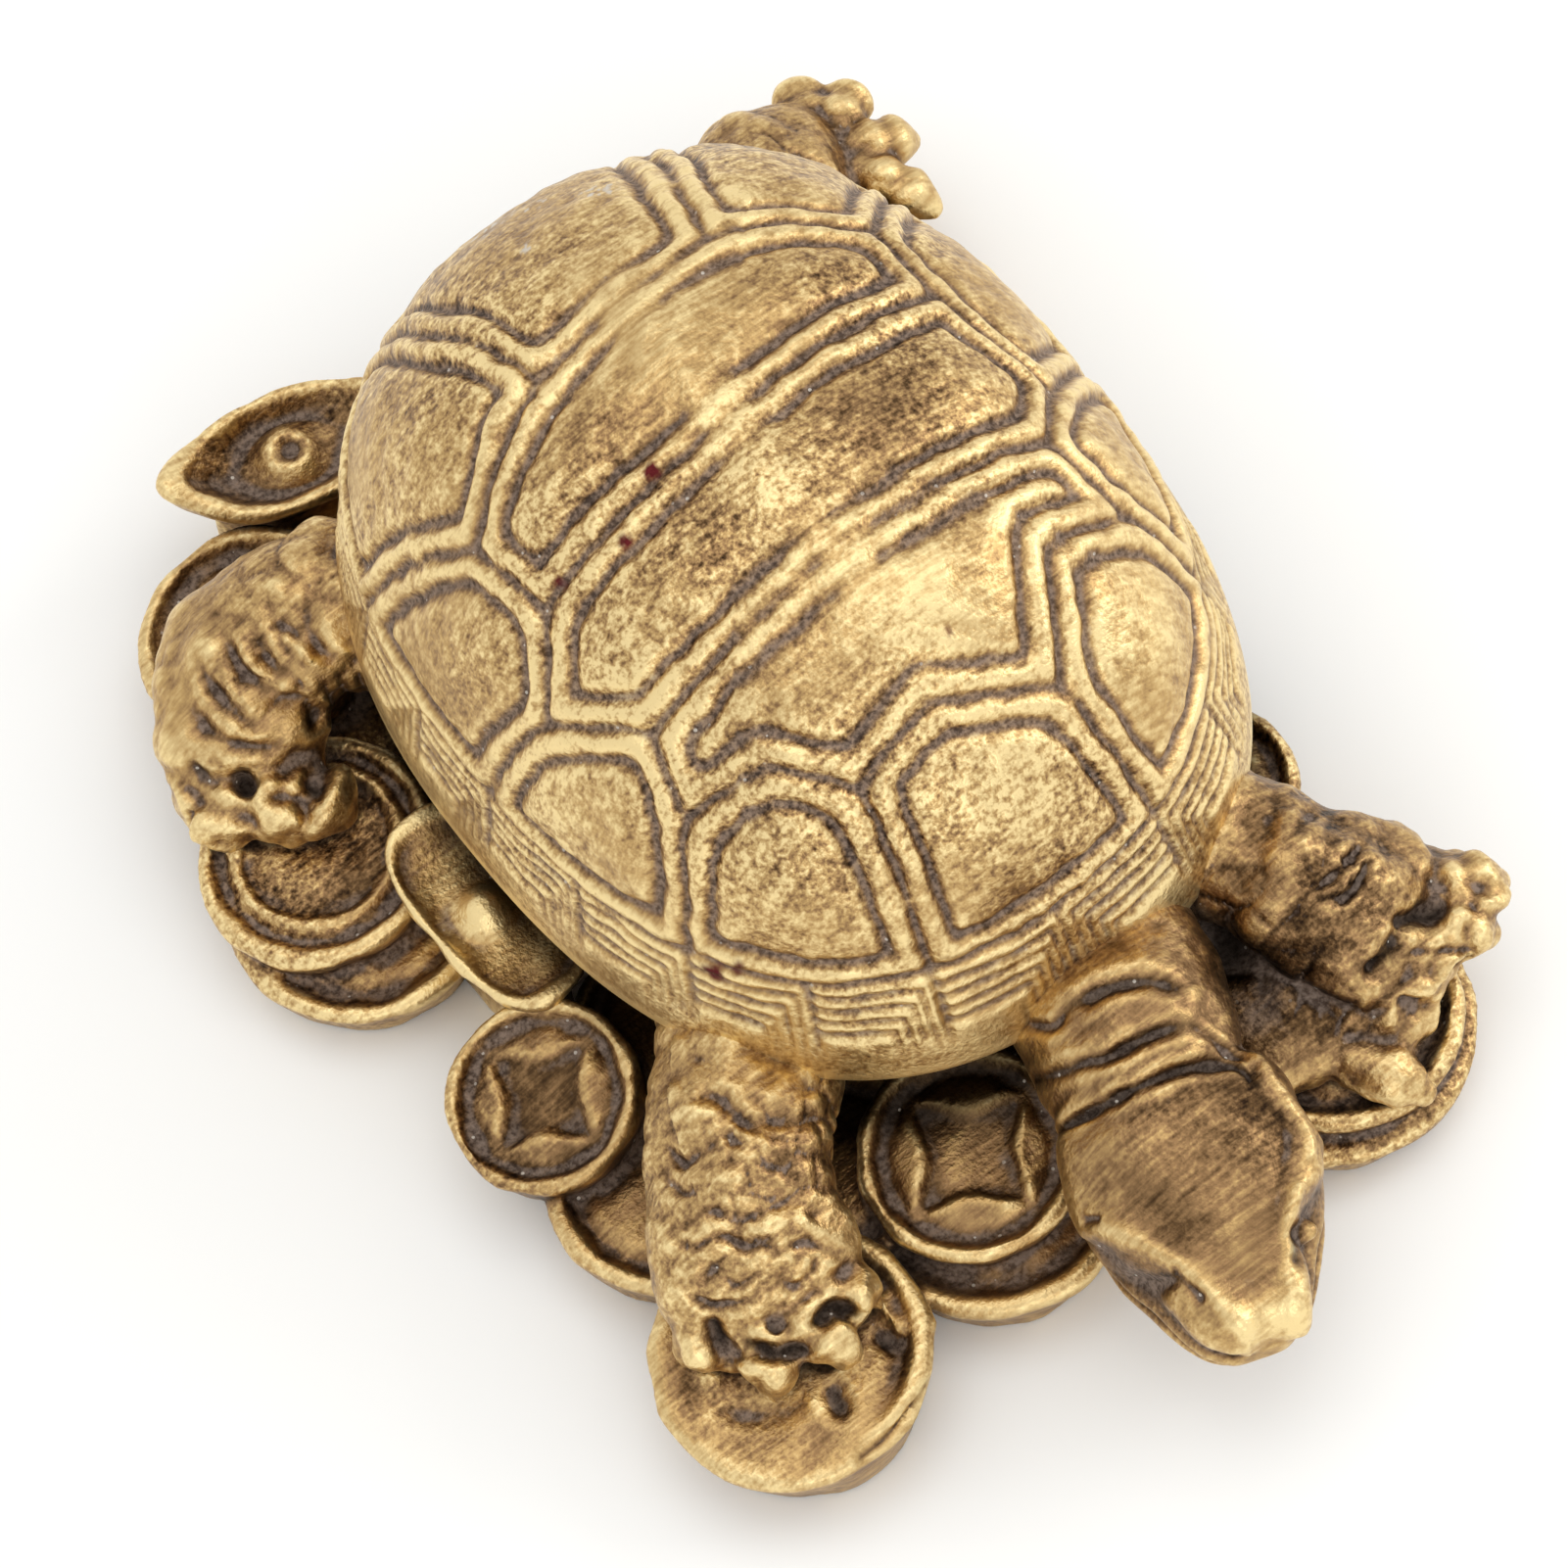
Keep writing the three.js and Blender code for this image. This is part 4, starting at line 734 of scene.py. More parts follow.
def bellySkin(sides=96):
    # superelliptical rings that widen evenly from the floor to the top
    turns = np.linspace(0.0, 2.0 * np.pi, sides, endpoint=False)
    rings = []
    for share in np.linspace(0.0, 1.0, belly["rows"]):
        size = 1.0 if share < belly["topRound"][0] else belly["topRound"][1]
        halfWidth = belly["footHalfWidth"] + (belly["halfWidth"] - belly["footHalfWidth"]) * share
        halfLength = belly["footHalfLength"] + (belly["halfLength"] - belly["footHalfLength"]) * share
        x, y = ovalRing(turns, halfWidth * size, halfLength * size, shell["planPower"])
        rings.append(np.stack([x, y, np.full(sides, belly["top"] * share)], axis=-1))
    return closedSkin(np.array(rings))


def alongLimb(points, limb, count=160):
    # for each point, from the nearest place on the middle line: length along the limb, distance round it
    # (angle times mean half-width) and reach from the middle as a share of the half-widths
    centre, along, aside, up, widths = pathFrames(limb["path"], limb["across"], limb["upright"], count)
    gaps = (points ** 2).sum(axis=1)[:, None] - 2.0 * points @ centre.T + (centre ** 2).sum(axis=1)
    i = gaps.argmin(axis=1)
    offset = points - centre[i]
    lengths = np.concatenate([[0.0], np.cumsum(np.linalg.norm(np.diff(centre, axis=0), axis=1))])
    place = lengths[i] + np.einsum("ij,ij->i", offset, along[i])
    right = np.einsum("ij,ij->i", offset, aside[i]) / widths[i, 0]
    rise = np.einsum("ij,ij->i", offset, up[i]) / widths[i, 1]
    around = np.arctan2(rise, right) * widths[i].mean(axis=1)
    return place, around, np.hypot(right, rise), lengths[-1]


def scales(points, place, around, seed):
    # rounded lumps in staggered rows: powers of |sin| along and |sin| round the limb, both bent by uneven
    # fields, each lump rising towards the foot, and worn smooth in places
    bend, sizes = skinCarving["bend"], skinCarving["bendSizes"]
    along = place / skinCarving["row"] + bend * waves(points, sizes[0], seed)
    row = np.floor(along)
    across = around / skinCarving["width"] + 0.5 * (row % 2) + bend * waves(points, sizes[1], seed + 40)
    lengthwise, crosswise = skinCarving["sharpness"]
    lump = abs(np.sin(np.pi * along)) ** lengthwise * abs(np.sin(np.pi * across)) ** crosswise
    left = smoothStep(*skinCarving["wornEdges"], waves(points, skinCarving["wornSize"], seed + 80))
    least, gain = skinCarving["footward"]
    return lump * (least + gain * (along - row)) * left


def headCoordinates(points):
    # the reverse of headPlace, and the height
    turn = np.radians(head["turn"])
    x, y = points[:, 0] - head["back"][0], points[:, 1] - head["back"][1]
    return -x * np.sin(turn) - y * np.cos(turn), x * np.cos(turn) - y * np.sin(turn), points[:, 2]


def headRelief(points):
    # skull-cap ridges, the cheeks drawn in below them, eyes in their sockets and the line of the mouth; all
    # are Gaussian rises and dips about plan lines, points or a level
    along, aside, height = headCoordinates(points)
    across = np.interp(along, head["along"], head["across"])
    top = np.interp(along, head["along"], head["topHeight"])
    chin = np.interp(along, head["along"], head["chinHeight"])
    level = (height - chin) / (top - chin)
    reach = np.hypot(aside / across, head["upright"] * (level - 0.5))
    onHead = smoothStep(*head["nape"], along) * (1.0 - smoothStep(*head["around"], reach))
    plan = np.stack([along, aside, np.zeros(len(points))], axis=-1)
    upper = smoothStep(*head["capFrom"], level)
    relief = np.zeros(len(points))
    for side, ridge in zip((-1.0, 1.0), head["ridges"]):
        line = np.column_stack([ridge, np.zeros(len(ridge))])
        gap = pathDistance(plan, line)
        beyond = side * (aside - np.interp(along, line[:, 0], line[:, 1]))
        relief += head["ridgeHeight"] * np.exp(-(gap / head["ridgeHalfWidth"]) ** 2) * upper
        inner = np.exp(-((gap - head["capHollowInset"]) / head["capHollowHalfWidth"]) ** 2)
        relief -= head["capHollow"] * inner * upper * (beyond < 0)
        cheek, halfHeight = head["cheekLevel"]
        inset = smoothStep(*head["cheekBelow"], beyond) * np.exp(-((level - cheek) / halfHeight) ** 2)
        relief -= head["cheekDepth"] * inset * smoothStep(*head["cheekFrom"], along)
    for eye in head["eyes"]:
        gap = (along - eye[0]) ** 2 + head["eyeStretch"] * (aside - eye[1]) ** 2 + (height - eye[2]) ** 2
        gap = np.sqrt(gap)
        relief -= head["socketDepth"] * np.exp(-(gap / head["socketRadius"]) ** 2)
        relief += (head["eyeRise"] + head["socketDepth"]) * np.exp(-(gap / head["eyeRadius"]) ** 4)
    rise, turns = head["mouthWave"]
    fromMouth = (height - (head["mouthHeight"] + rise * np.sin(along * turns))) / head["mouthHalfWidth"]
    relief -= head["mouthDepth"] * np.exp(-fromMouth ** 2) * smoothStep(*head["mouthFrom"], along)
    fromSnout = (along - head["snoutAt"]) / head["snoutHalfLength"]
    relief += head["snoutRise"] * np.exp(-fromSnout ** 2) * upper
    return relief * onHead, onHead


def headAndNeckRelief(points):
    # the head's relief, and lumps that are faint on the head
    relief, onHead = headRelief(points)
    whole, less = skinCarving["lumpShares"]
    return relief + lumpiness(points) * (whole - less * onHead)


def lumpiness(points):
    # uneven fields of two sizes, as in a rough casting, fading in the calm places
    relief = sum(rise * waves(points, size, seed=21) for rise, size in skinCarving["lumps"])
    for x, y, z, radius in skinCarving["calm"]:
        relief *= smoothStep(*skinCarving["calmFade"], np.linalg.norm(points - [x, y, z], axis=1) / radius)
    return relief


def legRelief(points):
    # scales on the limb whose middle is nearest for its size, ending away from it and fading towards the
    # foot, and the lumps of the casting
    best = np.full(len(points), np.inf)
    relief = np.zeros(len(points))
    fadeFrom, fadeTo = skinCarving["footFade"]
    for seed, limb in enumerate(limbs.values()):
        place, around, reach, whole = alongLimb(points, limb)
        onFoot = smoothStep(whole - fadeFrom, whole - fadeTo, place)
        near = 1.0 - smoothStep(*skinCarving["limbReach"], reach)
        near = near * (1.0 - (1.0 - skinCarving["footShare"]) * onFoot)
        scaly = skinCarving["height"] * scales(points, place, around, seed) * near
        relief = np.where(reach < best, scaly, relief)
        best = np.minimum(best, reach)
    return relief + lumpiness(points)


def marksAt(points, normals):
    # Relief of the marks, and the black of painted shade in their deep cuts: a Gaussian of the distance from
    # the line, measured along the surface, tapering towards its ends by a power of a sine, with a Gaussian
    # swelling beside each cut.
    # Lines of two points are pits and knobs, without taper or swelling.
    cut, raised, cutShade = np.zeros((3, len(points)))
    for depth, halfWidth, line in (mark for lines in marks["lines"].values() for mark in lines):
        length = np.linalg.norm(np.diff(line, axis=0), axis=1).sum()
        path = splinePoints(line, 4 + int(length / marks["spacing"]))
        low, high = path.min(axis=0) - marks["margin"], path.max(axis=0) + marks["margin"]
        near = np.nonzero(((points > low) & (points < high)).all(axis=1))[0]
        if not len(near):
            continue
        gap = points[near][:, None] - path[None]
        outward = np.einsum("ijk,ik->ij", gap, normals[near])
        sideways = np.maximum((gap ** 2).sum(axis=-1) - outward ** 2, 0.0)
        gap = np.sqrt(sideways + np.maximum(abs(outward) - marks["sheer"], 0.0) ** 2)
        nearest = gap.argmin(axis=1)
        gap = gap[np.arange(len(near)), nearest] / (halfWidth * marks["width"])
        isLine = len(line) > 2
        taper = np.sin(np.pi * (nearest + 2.0) / (len(path) + 3.0)) ** marks["taper"] if isLine else 1.0
        patchy = 1.0 + marks["patchiness"] * waves(points[near], marks["patchSize"], seed=71)
        taper = taper * patchy * marks["depth"]
        dip = abs(depth) * taper * np.exp(-gap ** 2)
        if depth > 0.0:
            cut[near] = np.maximum(cut[near], dip)
            lip = np.exp(-((gap - marks["lipAt"]) / marks["lipHalfWidth"]) ** 2)
            raised[near] = np.maximum(raised[near], marks["lipRise"] * isLine * depth * taper * lip)
            # painted shade: the deeper cuts go black inside
            shadeInCut = np.exp(-(marks["blackNarrower"] * gap) ** 2) * smoothStep(*marks["deepFrom"], depth)
            cutShade[near] = np.maximum(cutShade[near], shadeInCut)
        else:
            raised[near] = np.maximum(raised[near], dip)
    return raised - cut, cutShade


def pitShare(points):
    # the largest of the Gaussians round the pits
    deep = np.zeros(len(points))
    for x, y, z, radius in skinCarving["pits"]:
        gap = np.linalg.norm(points - [x, y, z], axis=1)
        deep = np.maximum(deep, np.exp(-(gap / radius) ** 2))
    return deep


# coins and ingots

coins = {
    # width of the rim as a share of the radius, its rise, its rounding, and the foot's share of the radius
    "rim": 0.13, "rimRise": 0.34, "round": 0.45, "footShare": 0.86,
    "rimSlope": [[1.0, 0.0], [1.15, 0.7], [1.4, 1.0], [1.6, 1.0]],     # shares of the rim and of its rise
    # groove beside the rim: so many widths of the rim in from the edge, depth and half-width
    "ringAt": 2.0, "ringDepth": 0.28, "ringWidth": 0.35,
    "below": 1.0,                                   # mm by which the skin goes on under its foot
    "wall": [0.98, 1.6],                            # its top: share of the radius, depth in roundings
    "dents": [[0.05, 1.2, 31], [0.06, 3.0, 32]],    # rise, size, seed
    "rubbedEdge": [-0.6, 0.3],                      # cosines from the rubbed side where the rubbing ends
    # the four-cornered hole: reach of its corners and waist between them as shares of the radius
    "starReach": 0.68, "starWaist": 0.36, "starPower": 2.2, "starEdge": 0.12, "starDepth": 0.28,
    "starLip": 0.16, "starLipAt": 0.3, "starLipHalfWidth": 0.2,
    # place of the top's middle, and how far the coin goes down from it; lean, its heading, the rubbed side
    # and the turn of the hole in degrees
    "upper": [
        {"at": [-17.3, -22.1, 4.2], "radius": 5.6, "height": 4.2, "lean": 4, "toward": 230, "rubbed": 195},
        {"at": [-7.0, -20.2, 5.2], "radius": 4.5, "height": 1.9, "lean": 8, "toward": 250, "star": 12},
        {"at": [-18.6, -7.5, 5.2], "radius": 4.0, "height": 2.6, "lean": 14, "toward": 200, "star": 12},
        {"at": [-19.2, 7.2, 4.7], "radius": 5.0, "height": 1.9, "lean": 5, "toward": 190},
        {"at": [-19.1, 7.3, 4.75], "radius": 3.7, "height": 0.6, "lean": 5, "toward": 190},
        {"at": [-18.8, 5.3, 2.6], "radius": 5.4, "height": 2.6, "lean": 0, "toward": 0},
        {"at": [-15.6, 17.0, 4.4], "radius": 4.8, "height": 4.4, "lean": 6, "toward": 160},
        {"at": [7.9, -23.9, 4.2], "radius": 5.2, "height": 1.6, "lean": 6, "toward": 300},
        {"at": [9.8, -13.2, 4.8], "radius": 3.8, "height": 4.8, "lean": 6, "toward": 340},
        {"at": [11.4, -4.6, 3.8], "radius": 4.2, "height": 3.8, "lean": 8, "toward": 0},
        {"at": [11.8, 4.2, 5.0], "radius": 4.3, "height": 5.0, "lean": 6, "toward": 10},
        {"at": [12.6, 12.2, 3.6], "radius": 4.8, "height": 3.6, "lean": 4, "toward": 30},
        {"at": [3.2, 17.2, 4.6], "radius": 4.6, "height": 4.6, "lean": 6, "toward": 90},
    ],
    # flat coins of the lower layer: place of the top's middle, and radius
    "lower": [
        [-6.7, -20.7, 3.0, 5.8], [-16.3, -12.6, 3.0, 5.0], [-11.2, -16.4, 3.6, 4.4], [-12.6, -7.0, 3.4, 3.6],
        [7.6, -23.6, 2.4, 6.0], [0.4, -20.4, 3.6, 5.2], [-13.0, 12.4, 2.6, 5.2], [-8.0, 17.6, 2.6, 5.2],
        [13.8, 18.2, 4.3, 3.9],
    ],
}

ingots = {
    # widths of the foot and the waist as shares of the rim's, the waist's depth as a share of the keel,
    # and the part of this shrinking that the length leaves out
    "footShare": 0.62, "waistShare": 0.56, "waistHeight": 0.45, "endShare": 0.25,
    # rows over the rim: shares of the length and the width, level (mm), share of the rise at the tips
    "rim": [[0.93, 0.9, -0.9, 0.6], [1.0, 1.0, -0.35, 1.0], [0.985, 0.97, 0.0, 1.0],
            [0.93, 0.9, 0.06, 1.0]],
    # rows down into the dish: the same, with shares of the inside, and the level with a share of the depth
    "dish": [[1.04, 1.06, -0.05, 0.0, 0.9], [1.0, 1.0, -0.25, 0.0, 0.7], [0.8, 0.84, 0.0, 0.8, 0.2],
             [0.6, 0.68, 0.0, 1.0, 0.0]],
    "pinch": 0.35, "bossRows": [0.9, 0.02, 14],     # first and last size as a share of the dish, and count
    # the ring round a small pit on a boss: rise, distance, half-width; depth and radius of the pit
    "bossRing": [0.25, 0.8, 0.3], "bossPit": [0.3, 0.3],
    # place of the rim's middle; the keel is the depth below it, square the superellipse's power
    "places": [
        {
            "at": [-9.9, 21.9, 6.0], "turn": -15, "halfLength": 5.5, "halfWidth": 2.8, "keel": 6.0,
            "tipRise": 1.1, "wallShare": 0.22, "dishDepth": 0.9, "square": 2.0, "pinched": True,
            "boss": 1.5, "bossRise": 0.6, "bossAside": 0.0, "ring": True,
        },
        {
            "at": [-15.6, 0.0, 6.2], "turn": 92, "halfLength": 5.2, "halfWidth": 2.5, "keel": 6.2,
            "tipRise": 0.3, "wallShare": 0.17, "dishDepth": 0.4, "square": 3.0, "pinched": False,
            "boss": 1.0, "bossRise": 1.0, "bossAside": 0.15, "ring": False,
        },
    ],
}


def leaned(points, at, lean, toward):
    # turned about the level axis square to the heading, then moved
    heading, tilt = np.radians([toward, lean])
    axis = np.array([-np.sin(heading), np.cos(heading), 0.0])
    turned = np.array(Matrix.Rotation(tilt, 3, axis.tolist()))
    return points @ turned.T + np.array(at)


def coinSkin(coin, sides=120, faceRows=30):
    # A disc turned from the foot up, over a quarter-round edge and the rim, and in to the middle, with a
    # Gaussian groove beside the rim. The hole is a recess inside a bound that swings between its corners
    # and its waists by a power of the angle, with a Gaussian lip round it.
    radius, drop = coin["radius"], coins["rimRise"]
    rim = radius * coins["rim"]
    wallShare, wallDepth = coins["wall"]
    foot = np.array([[radius * coins["footShare"], -coin["height"] - coins["below"]],
                     [radius * wallShare, -coins["round"] * wallDepth]])
    bend = np.linspace(0.0, np.pi / 2, 6)
    edge = coins["round"] * np.stack([np.cos(bend) - 1.0, np.sin(bend) - 1.0], axis=-1) + [radius, 0.0]
    slope = np.array([[radius - rim * inward, -drop * down] for inward, down in coins["rimSlope"]])
    face = np.stack([np.linspace(slope[-1, 0], 0.05, faceRows), np.full(faceRows, -drop)], axis=-1)
    profile = np.vstack([foot, edge, slope[:-1], face])
    turns = np.linspace(0.0, 2.0 * np.pi, sides, endpoint=False)
    reach, rise = profile[:, :1] + 0.0 * turns, profile[:, 1:] + 0.0 * turns
    top = rise >= -drop - 1e-6
    beside = np.exp(-((reach - radius + rim * coins["ringAt"]) / coins["ringWidth"]) ** 2)
    rise = rise - coins["ringDepth"] * beside * (top & (rise < 0.0))
    if "rubbed" in coin:                  # the face comes up level with the rim on this side
        kept = 1.0 - smoothStep(*coins["rubbedEdge"], np.cos(turns - np.radians(coin["rubbed"])))
        rise = np.where(top & (reach < radius - rim), rise * kept, rise)
    if "star" in coin:
        eighth = np.pi / 4
        fold = abs((turns - np.radians(coin["star"]) + eighth) % (2.0 * eighth) - eighth) / eighth
        swing = (coins["starReach"] - coins["starWaist"]) * (1.0 - fold) ** coins["starPower"]
        within = radius * (coins["starWaist"] + swing)[None] - reach
        inside = smoothStep(-coins["starEdge"], coins["starEdge"], within)
        lip = np.exp(-((within + coins["starLipAt"]) / coins["starLipHalfWidth"]) ** 2)
        rise = rise + (coins["starLip"] * lip - coins["starDepth"] * inside) * (rise <= -drop + 1e-6)
    rings = np.stack([reach * np.cos(turns), reach * np.sin(turns), rise], axis=-1)
    points, quads, triangles = closedSkin(rings)
    return leaned(points, coin["at"], coin["lean"], coin["toward"]), quads, triangles


def ingotSkin(ingot, sides=96):
    # Boat-shaped rings from the keel up over the rim and down the dish to the boss. A ring is a
    # superellipse, whose ends rise and may be pinched by the cube of the cosine. The boss is exp(-gap^3),
    # and its ring and pit are Gaussian.
    inner, dish = 1.0 - ingot["wallShare"], -ingot["dishDepth"]
    hull = ((ingots["footShare"], 1.0), (ingots["waistShare"], ingots["waistHeight"]))
    levels = [[share + (1.0 - share) * ingots["endShare"], share, -ingot["keel"] * height, 0.0]
              for share, height in hull]
    levels += ingots["rim"]
    levels += [[inner * lengthShare, inner * widthShare, level + dish * depth, rise]
               for lengthShare, widthShare, level, depth, rise in ingots["dish"]]
    turns = np.linspace(0.0, 2.0 * np.pi, sides, endpoint=False)
    ends = abs(np.cos(turns)) ** 3
    pinch = 1.0 - ingots["pinch"] * ends * ingot["pinched"]
    rings = []
    for lengthShare, widthShare, level, rise in levels:
        halfLength, halfWidth = ingot["halfLength"] * lengthShare, ingot["halfWidth"] * widthShare
        x, y = ovalRing(turns, halfLength, halfWidth, ingot["square"])
        rings.append(np.stack([x, y * pinch, level + ingot["tipRise"] * rise * ends], axis=-1))
    middle, last = np.array([0.0, ingot["bossAside"], dish]), rings[-1]
    for share in np.linspace(*ingots["bossRows"]):
        ring = middle + (last - middle) * share
        gap = np.hypot(*(ring - middle)[:, :2].T)
        ring[:, 2] = dish + ingot["bossRise"] * np.exp(-(gap / ingot["boss"]) ** 3)
        if ingot["ring"]:
            (rise, distance, halfWidth), (depth, radius) = ingots["bossRing"], ingots["bossPit"]
            raised = rise * np.exp(-((gap - distance) / halfWidth) ** 2)
            ring[:, 2] += raised - depth * np.exp(-(gap / radius) ** 2)
        rings.append(ring)
    points, quads, triangles = closedSkin(rowsBetween(np.array(rings), 3))
    turn = np.radians(ingot["turn"])
    c, s = np.cos(turn), np.sin(turn)
    turned = np.array([[c, -s, 0.0], [s, c, 0.0], [0.0, 0.0, 1.0]])
    return points @ turned.T + np.array(ingot["at"]), quads, triangles


def rowsBetween(rings, times):
    # so many times the rows, straight from each given row to the next
    rows = np.linspace(0.0, len(rings) - 1.0, (len(rings) - 1) * times + 1)
    i = np.minimum(rows.astype(int), len(rings) - 2)
    f = (rows - i)[:, None, None]
    return rings[i] * (1.0 - f) + rings[i + 1] * f


# fusing overlapping skins into one casting

casting = {
    "cells": {"belly": 0.4, "legs": 0.155, "head": 0.12, "coins": 0.22, "ingots": 0.15},      # mm
    "softening": 0.28, "evenness": 0.6,   # mm over which the skins' joints, and the normals, are rounded
    "spread": 1.2,                        # rounds of relaxing that spread a value over one cell
    "fewestPoints": 300,                  # an island of the fused surface with fewer points is a crumb
}


def withoutCrumbs(points, quads, triangles, fewest):
    # every point takes the lowest number that it can reach along edges; islands of fewer points are dropped
    pairs = edgePairs(quads, triangles)
    lowest = np.arange(len(points))
    while (lowest[pairs[:, 0]] != lowest[pairs[:, 1]]).any():
        ends = lowest[pairs]
        np.minimum.at(lowest, ends.max(axis=1), ends.min(axis=1))
        lowest = lowest[lowest]
    kept = np.bincount(lowest, minlength=len(points))[lowest] >= fewest
    number = np.cumsum(kept) - 1
    return points[kept], number[quads[kept[quads[:, 0]]]], number[triangles[kept[triangles[:, 0]]]]


def fused(parts, cell):
    # one surface round all the skins, in cells of the given size (mm), flat on the floor, without crumbs
    points, quads, triangles = joined(parts)
    points[:, 2] = np.maximum(points[:, 2], 0.0)
    mesh = meshFrom("rough", points, quads, triangles)
    obj = bpy.data.objects.new("rough", mesh)
    bpy.context.scene.collection.objects.link(obj)
    remesh = obj.modifiers.new("fuse", "REMESH")
    remesh.mode = "VOXEL"
    remesh.voxel_size = cell
    remesh.adaptivity = 0.0
    evaluated = obj.evaluated_get(bpy.context.evaluated_depsgraph_get())
    done = evaluated.to_mesh()
    points = np.empty(len(done.vertices) * 3)
    done.vertices.foreach_get("co", points)
    sizes = np.empty(len(done.polygons), int)
    done.polygons.foreach_get("loop_total", sizes)
    corners = np.empty(len(done.loops), int)
    done.loops.foreach_get("vertex_index", corners)
    starts = np.concatenate([[0], np.cumsum(sizes)[:-1]])
    quads = corners[starts[sizes == 4][:, None] + np.arange(4)]
    triangles = corners[starts[sizes == 3][:, None] + np.arange(3)]
    evaluated.to_mesh_clear()
    bpy.data.objects.remove(obj)
    bpy.data.meshes.remove(mesh)
    return withoutCrumbs(points.reshape(-1, 3), quads, triangles, casting["fewestPoints"])


# the finished pieces

wear = {
    "fineReach": 0.3, "coarseReach": 0.95,            # mm over which the surface is smoothed for comparison
    "fineGain": {"shell": 16.0, "belly": 8.0, "legs": 11.0, "head": 8.0, "coins": 12.0, "ingots": 12.0},
    "coarseGain": 5.0,
    # how much of the cast grain each piece shows
    "sandiness": {"shell": 1.0, "belly": 1.0, "legs": 0.55, "head": 0.45, "coins": 0.9, "ingots": 0.8},
    "tones": {"shell": 0.64, "belly": 0.2, "legs": 0.56, "head": 0.46, "coins": 0.5, "ingots": 0.62},
    "keelTone": 0.1, "bandTone": 0.13, "bandEdge": 0.01,
    # places that are darker (-) or brighter (+): place, radius, amount; among them a painted glint in the
    # left eye, a painted highlight on the snout's tip and painted shade in the corner between the left fore
    # leg and the neck
    "patches": [
        [9.5, -20.5, 9.0, 4.0, -0.22], [5.6, -21.5, 7.0, 3.0, -0.3], [0.8, -29.5, 10.9, 1.8, -0.18],
        [-3.7, -29.0, 10.9, 1.6, -0.16], [-3.0, -35.1, 8.8, 1.4, 0.65], [-18.6, -7.5, 5.0, 4.6, -0.18],
        [-17.3, -23.5, 4.2, 4.5, 0.01], [8.0, -24.0, 4.0, 4.5, -0.12], [-15.5, 10.0, 7.0, 3.0, -0.1],
        [-7.0, -20.2, 5.2, 4.0, -0.08], [-0.4, -33.25, 9.3, 0.3, 0.6], [-15.6, 0.0, 6.2, 4.5, 0.14],
        [-15.75, 0.0, 6.7, 1.0, 0.45], [-9.9, 21.9, 6.0, 6.0, -0.16], [15.5, 18.5, 5.5, 4.5, -0.1],
        [-18.9, 5.2, 2.6, 5.5, 0.12], [0.0, -22.0, 12.0, 3.2, -0.12], [-18.2, 5.2, 4.7, 2.8, -0.34],
        [1.4, -27.0, 11.0, 1.6, -0.18], [8.2, -23.2, 7.0, 2.3, -0.24], [-18.9, 12.5, 8.5, 4.0, -0.06],
        [11.5, -26.5, 5.0, 2.0, 0.12], [8.5, -15.8, 10.0, 2.0, 0.15], [9.8, -22.5, 9.5, 1.6, -0.12],
    ],
    # the shell's darker (-) and brighter (+) places: place, radius, amount; partly rubbed streaks on the
    # crown, partly painted light, brighter towards the front where the light falls and darker towards the
    # back
    "shellPatches": [
        [0.0, -16.0, 21.5, 1.9, 0.26], [6.3, -13.8, 22.3, 1.8, 0.26], [-9.5, -6.0, 24.3, 2.6, 0.2],
        [4.8, -3.8, 26.9, 2.2, -0.22], [7.5, 3.0, 26.1, 4.0, -0.12], [-3.5, 3.5, 27.2, 2.2, -0.15],
        [-3.5, -4.0, 27.1, 1.5, -0.12], [4.6, -9.0, 25.9, 1.2, -0.18], [7.0, -12.0, 23.3, 1.2, -0.12],
        [-10.5, -15.0, 12.0, 2.6, 0.2], [3.2, -19.0, 12.0, 2.6, 0.24], [8.5, -16.5, 12.0, 2.4, 0.12],
        [-12.5, -4.5, 20.0, 2.5, 0.1], [1.0, -14.0, 23.0, 5.0, 0.07], [0.0, 0.0, 27.4, 6.0, -0.04],
        [-0.5, -2.3, 27.4, 1.3, 0.24], [0.1, 0.9, 27.4, 1.1, 0.2], [1.7, -10.2, 25.9, 1.8, 0.14],
        [9.0, -13.5, 20.1, 1.6, 0.18],
    ],
    # places that keep a grey film: place, radius, amount
    "greys": [
        [-6.1, -28.4, 8.0, 1.4, 0.8], [-5.6, -30.2, 8.0, 1.2, 0.7], [-4.4, -33.6, 7.6, 1.3, 0.45],
        [6.0, -22.5, 6.6, 2.6, 0.35], [0.9, -31.5, 8.2, 1.2, 0.5],
        [3.3, -26.7, 8.0, 1.4, 0.6], [4.2, -24.2, 8.0, 1.8, 0.6], [-14.0, -17.6, 9.6, 1.4, 0.4],
    ],
    "deepest": 0.85,                                  # share of painted black shade at most
    "underShellShade": [[0.96, 1.06], [5.8, 8.0]],         # share of the rim and height below which painted shade makes it black
    # small accidents of the finish, in plan on the shell, and their radii: dark red lacquer and white
    # polishing paste
    "redStains": [[-12.0, -12.5, 0.55], [-11.3, -13.2, 0.5], [-8.7, -0.1, 0.34], [-3.5, 0.6, 0.36],
                  [-5.9, -0.9, 0.32], [1.5, -11.2, 0.28]],
    "pasteStains": [[-0.9, 16.1, 1.1], [2.8, 13.5, 0.9], [0.6, 15.3, 0.7], [-7.8, -8.2, 0.4],
                    [-0.9, 12.8, 0.45]],
    "stainWaver": [0.2, 0.35],                        # raggedness as a share of the radius, and its size
    "stainEdge": [0.6, 1.2],                          # shares of the radius over which a stain ends
    "pasteGrains": [0.35, 0.8, 0.22],                 # field over which the paste comes in, and its size
    "stainsAbove": 12.0,                              # height (mm)
}


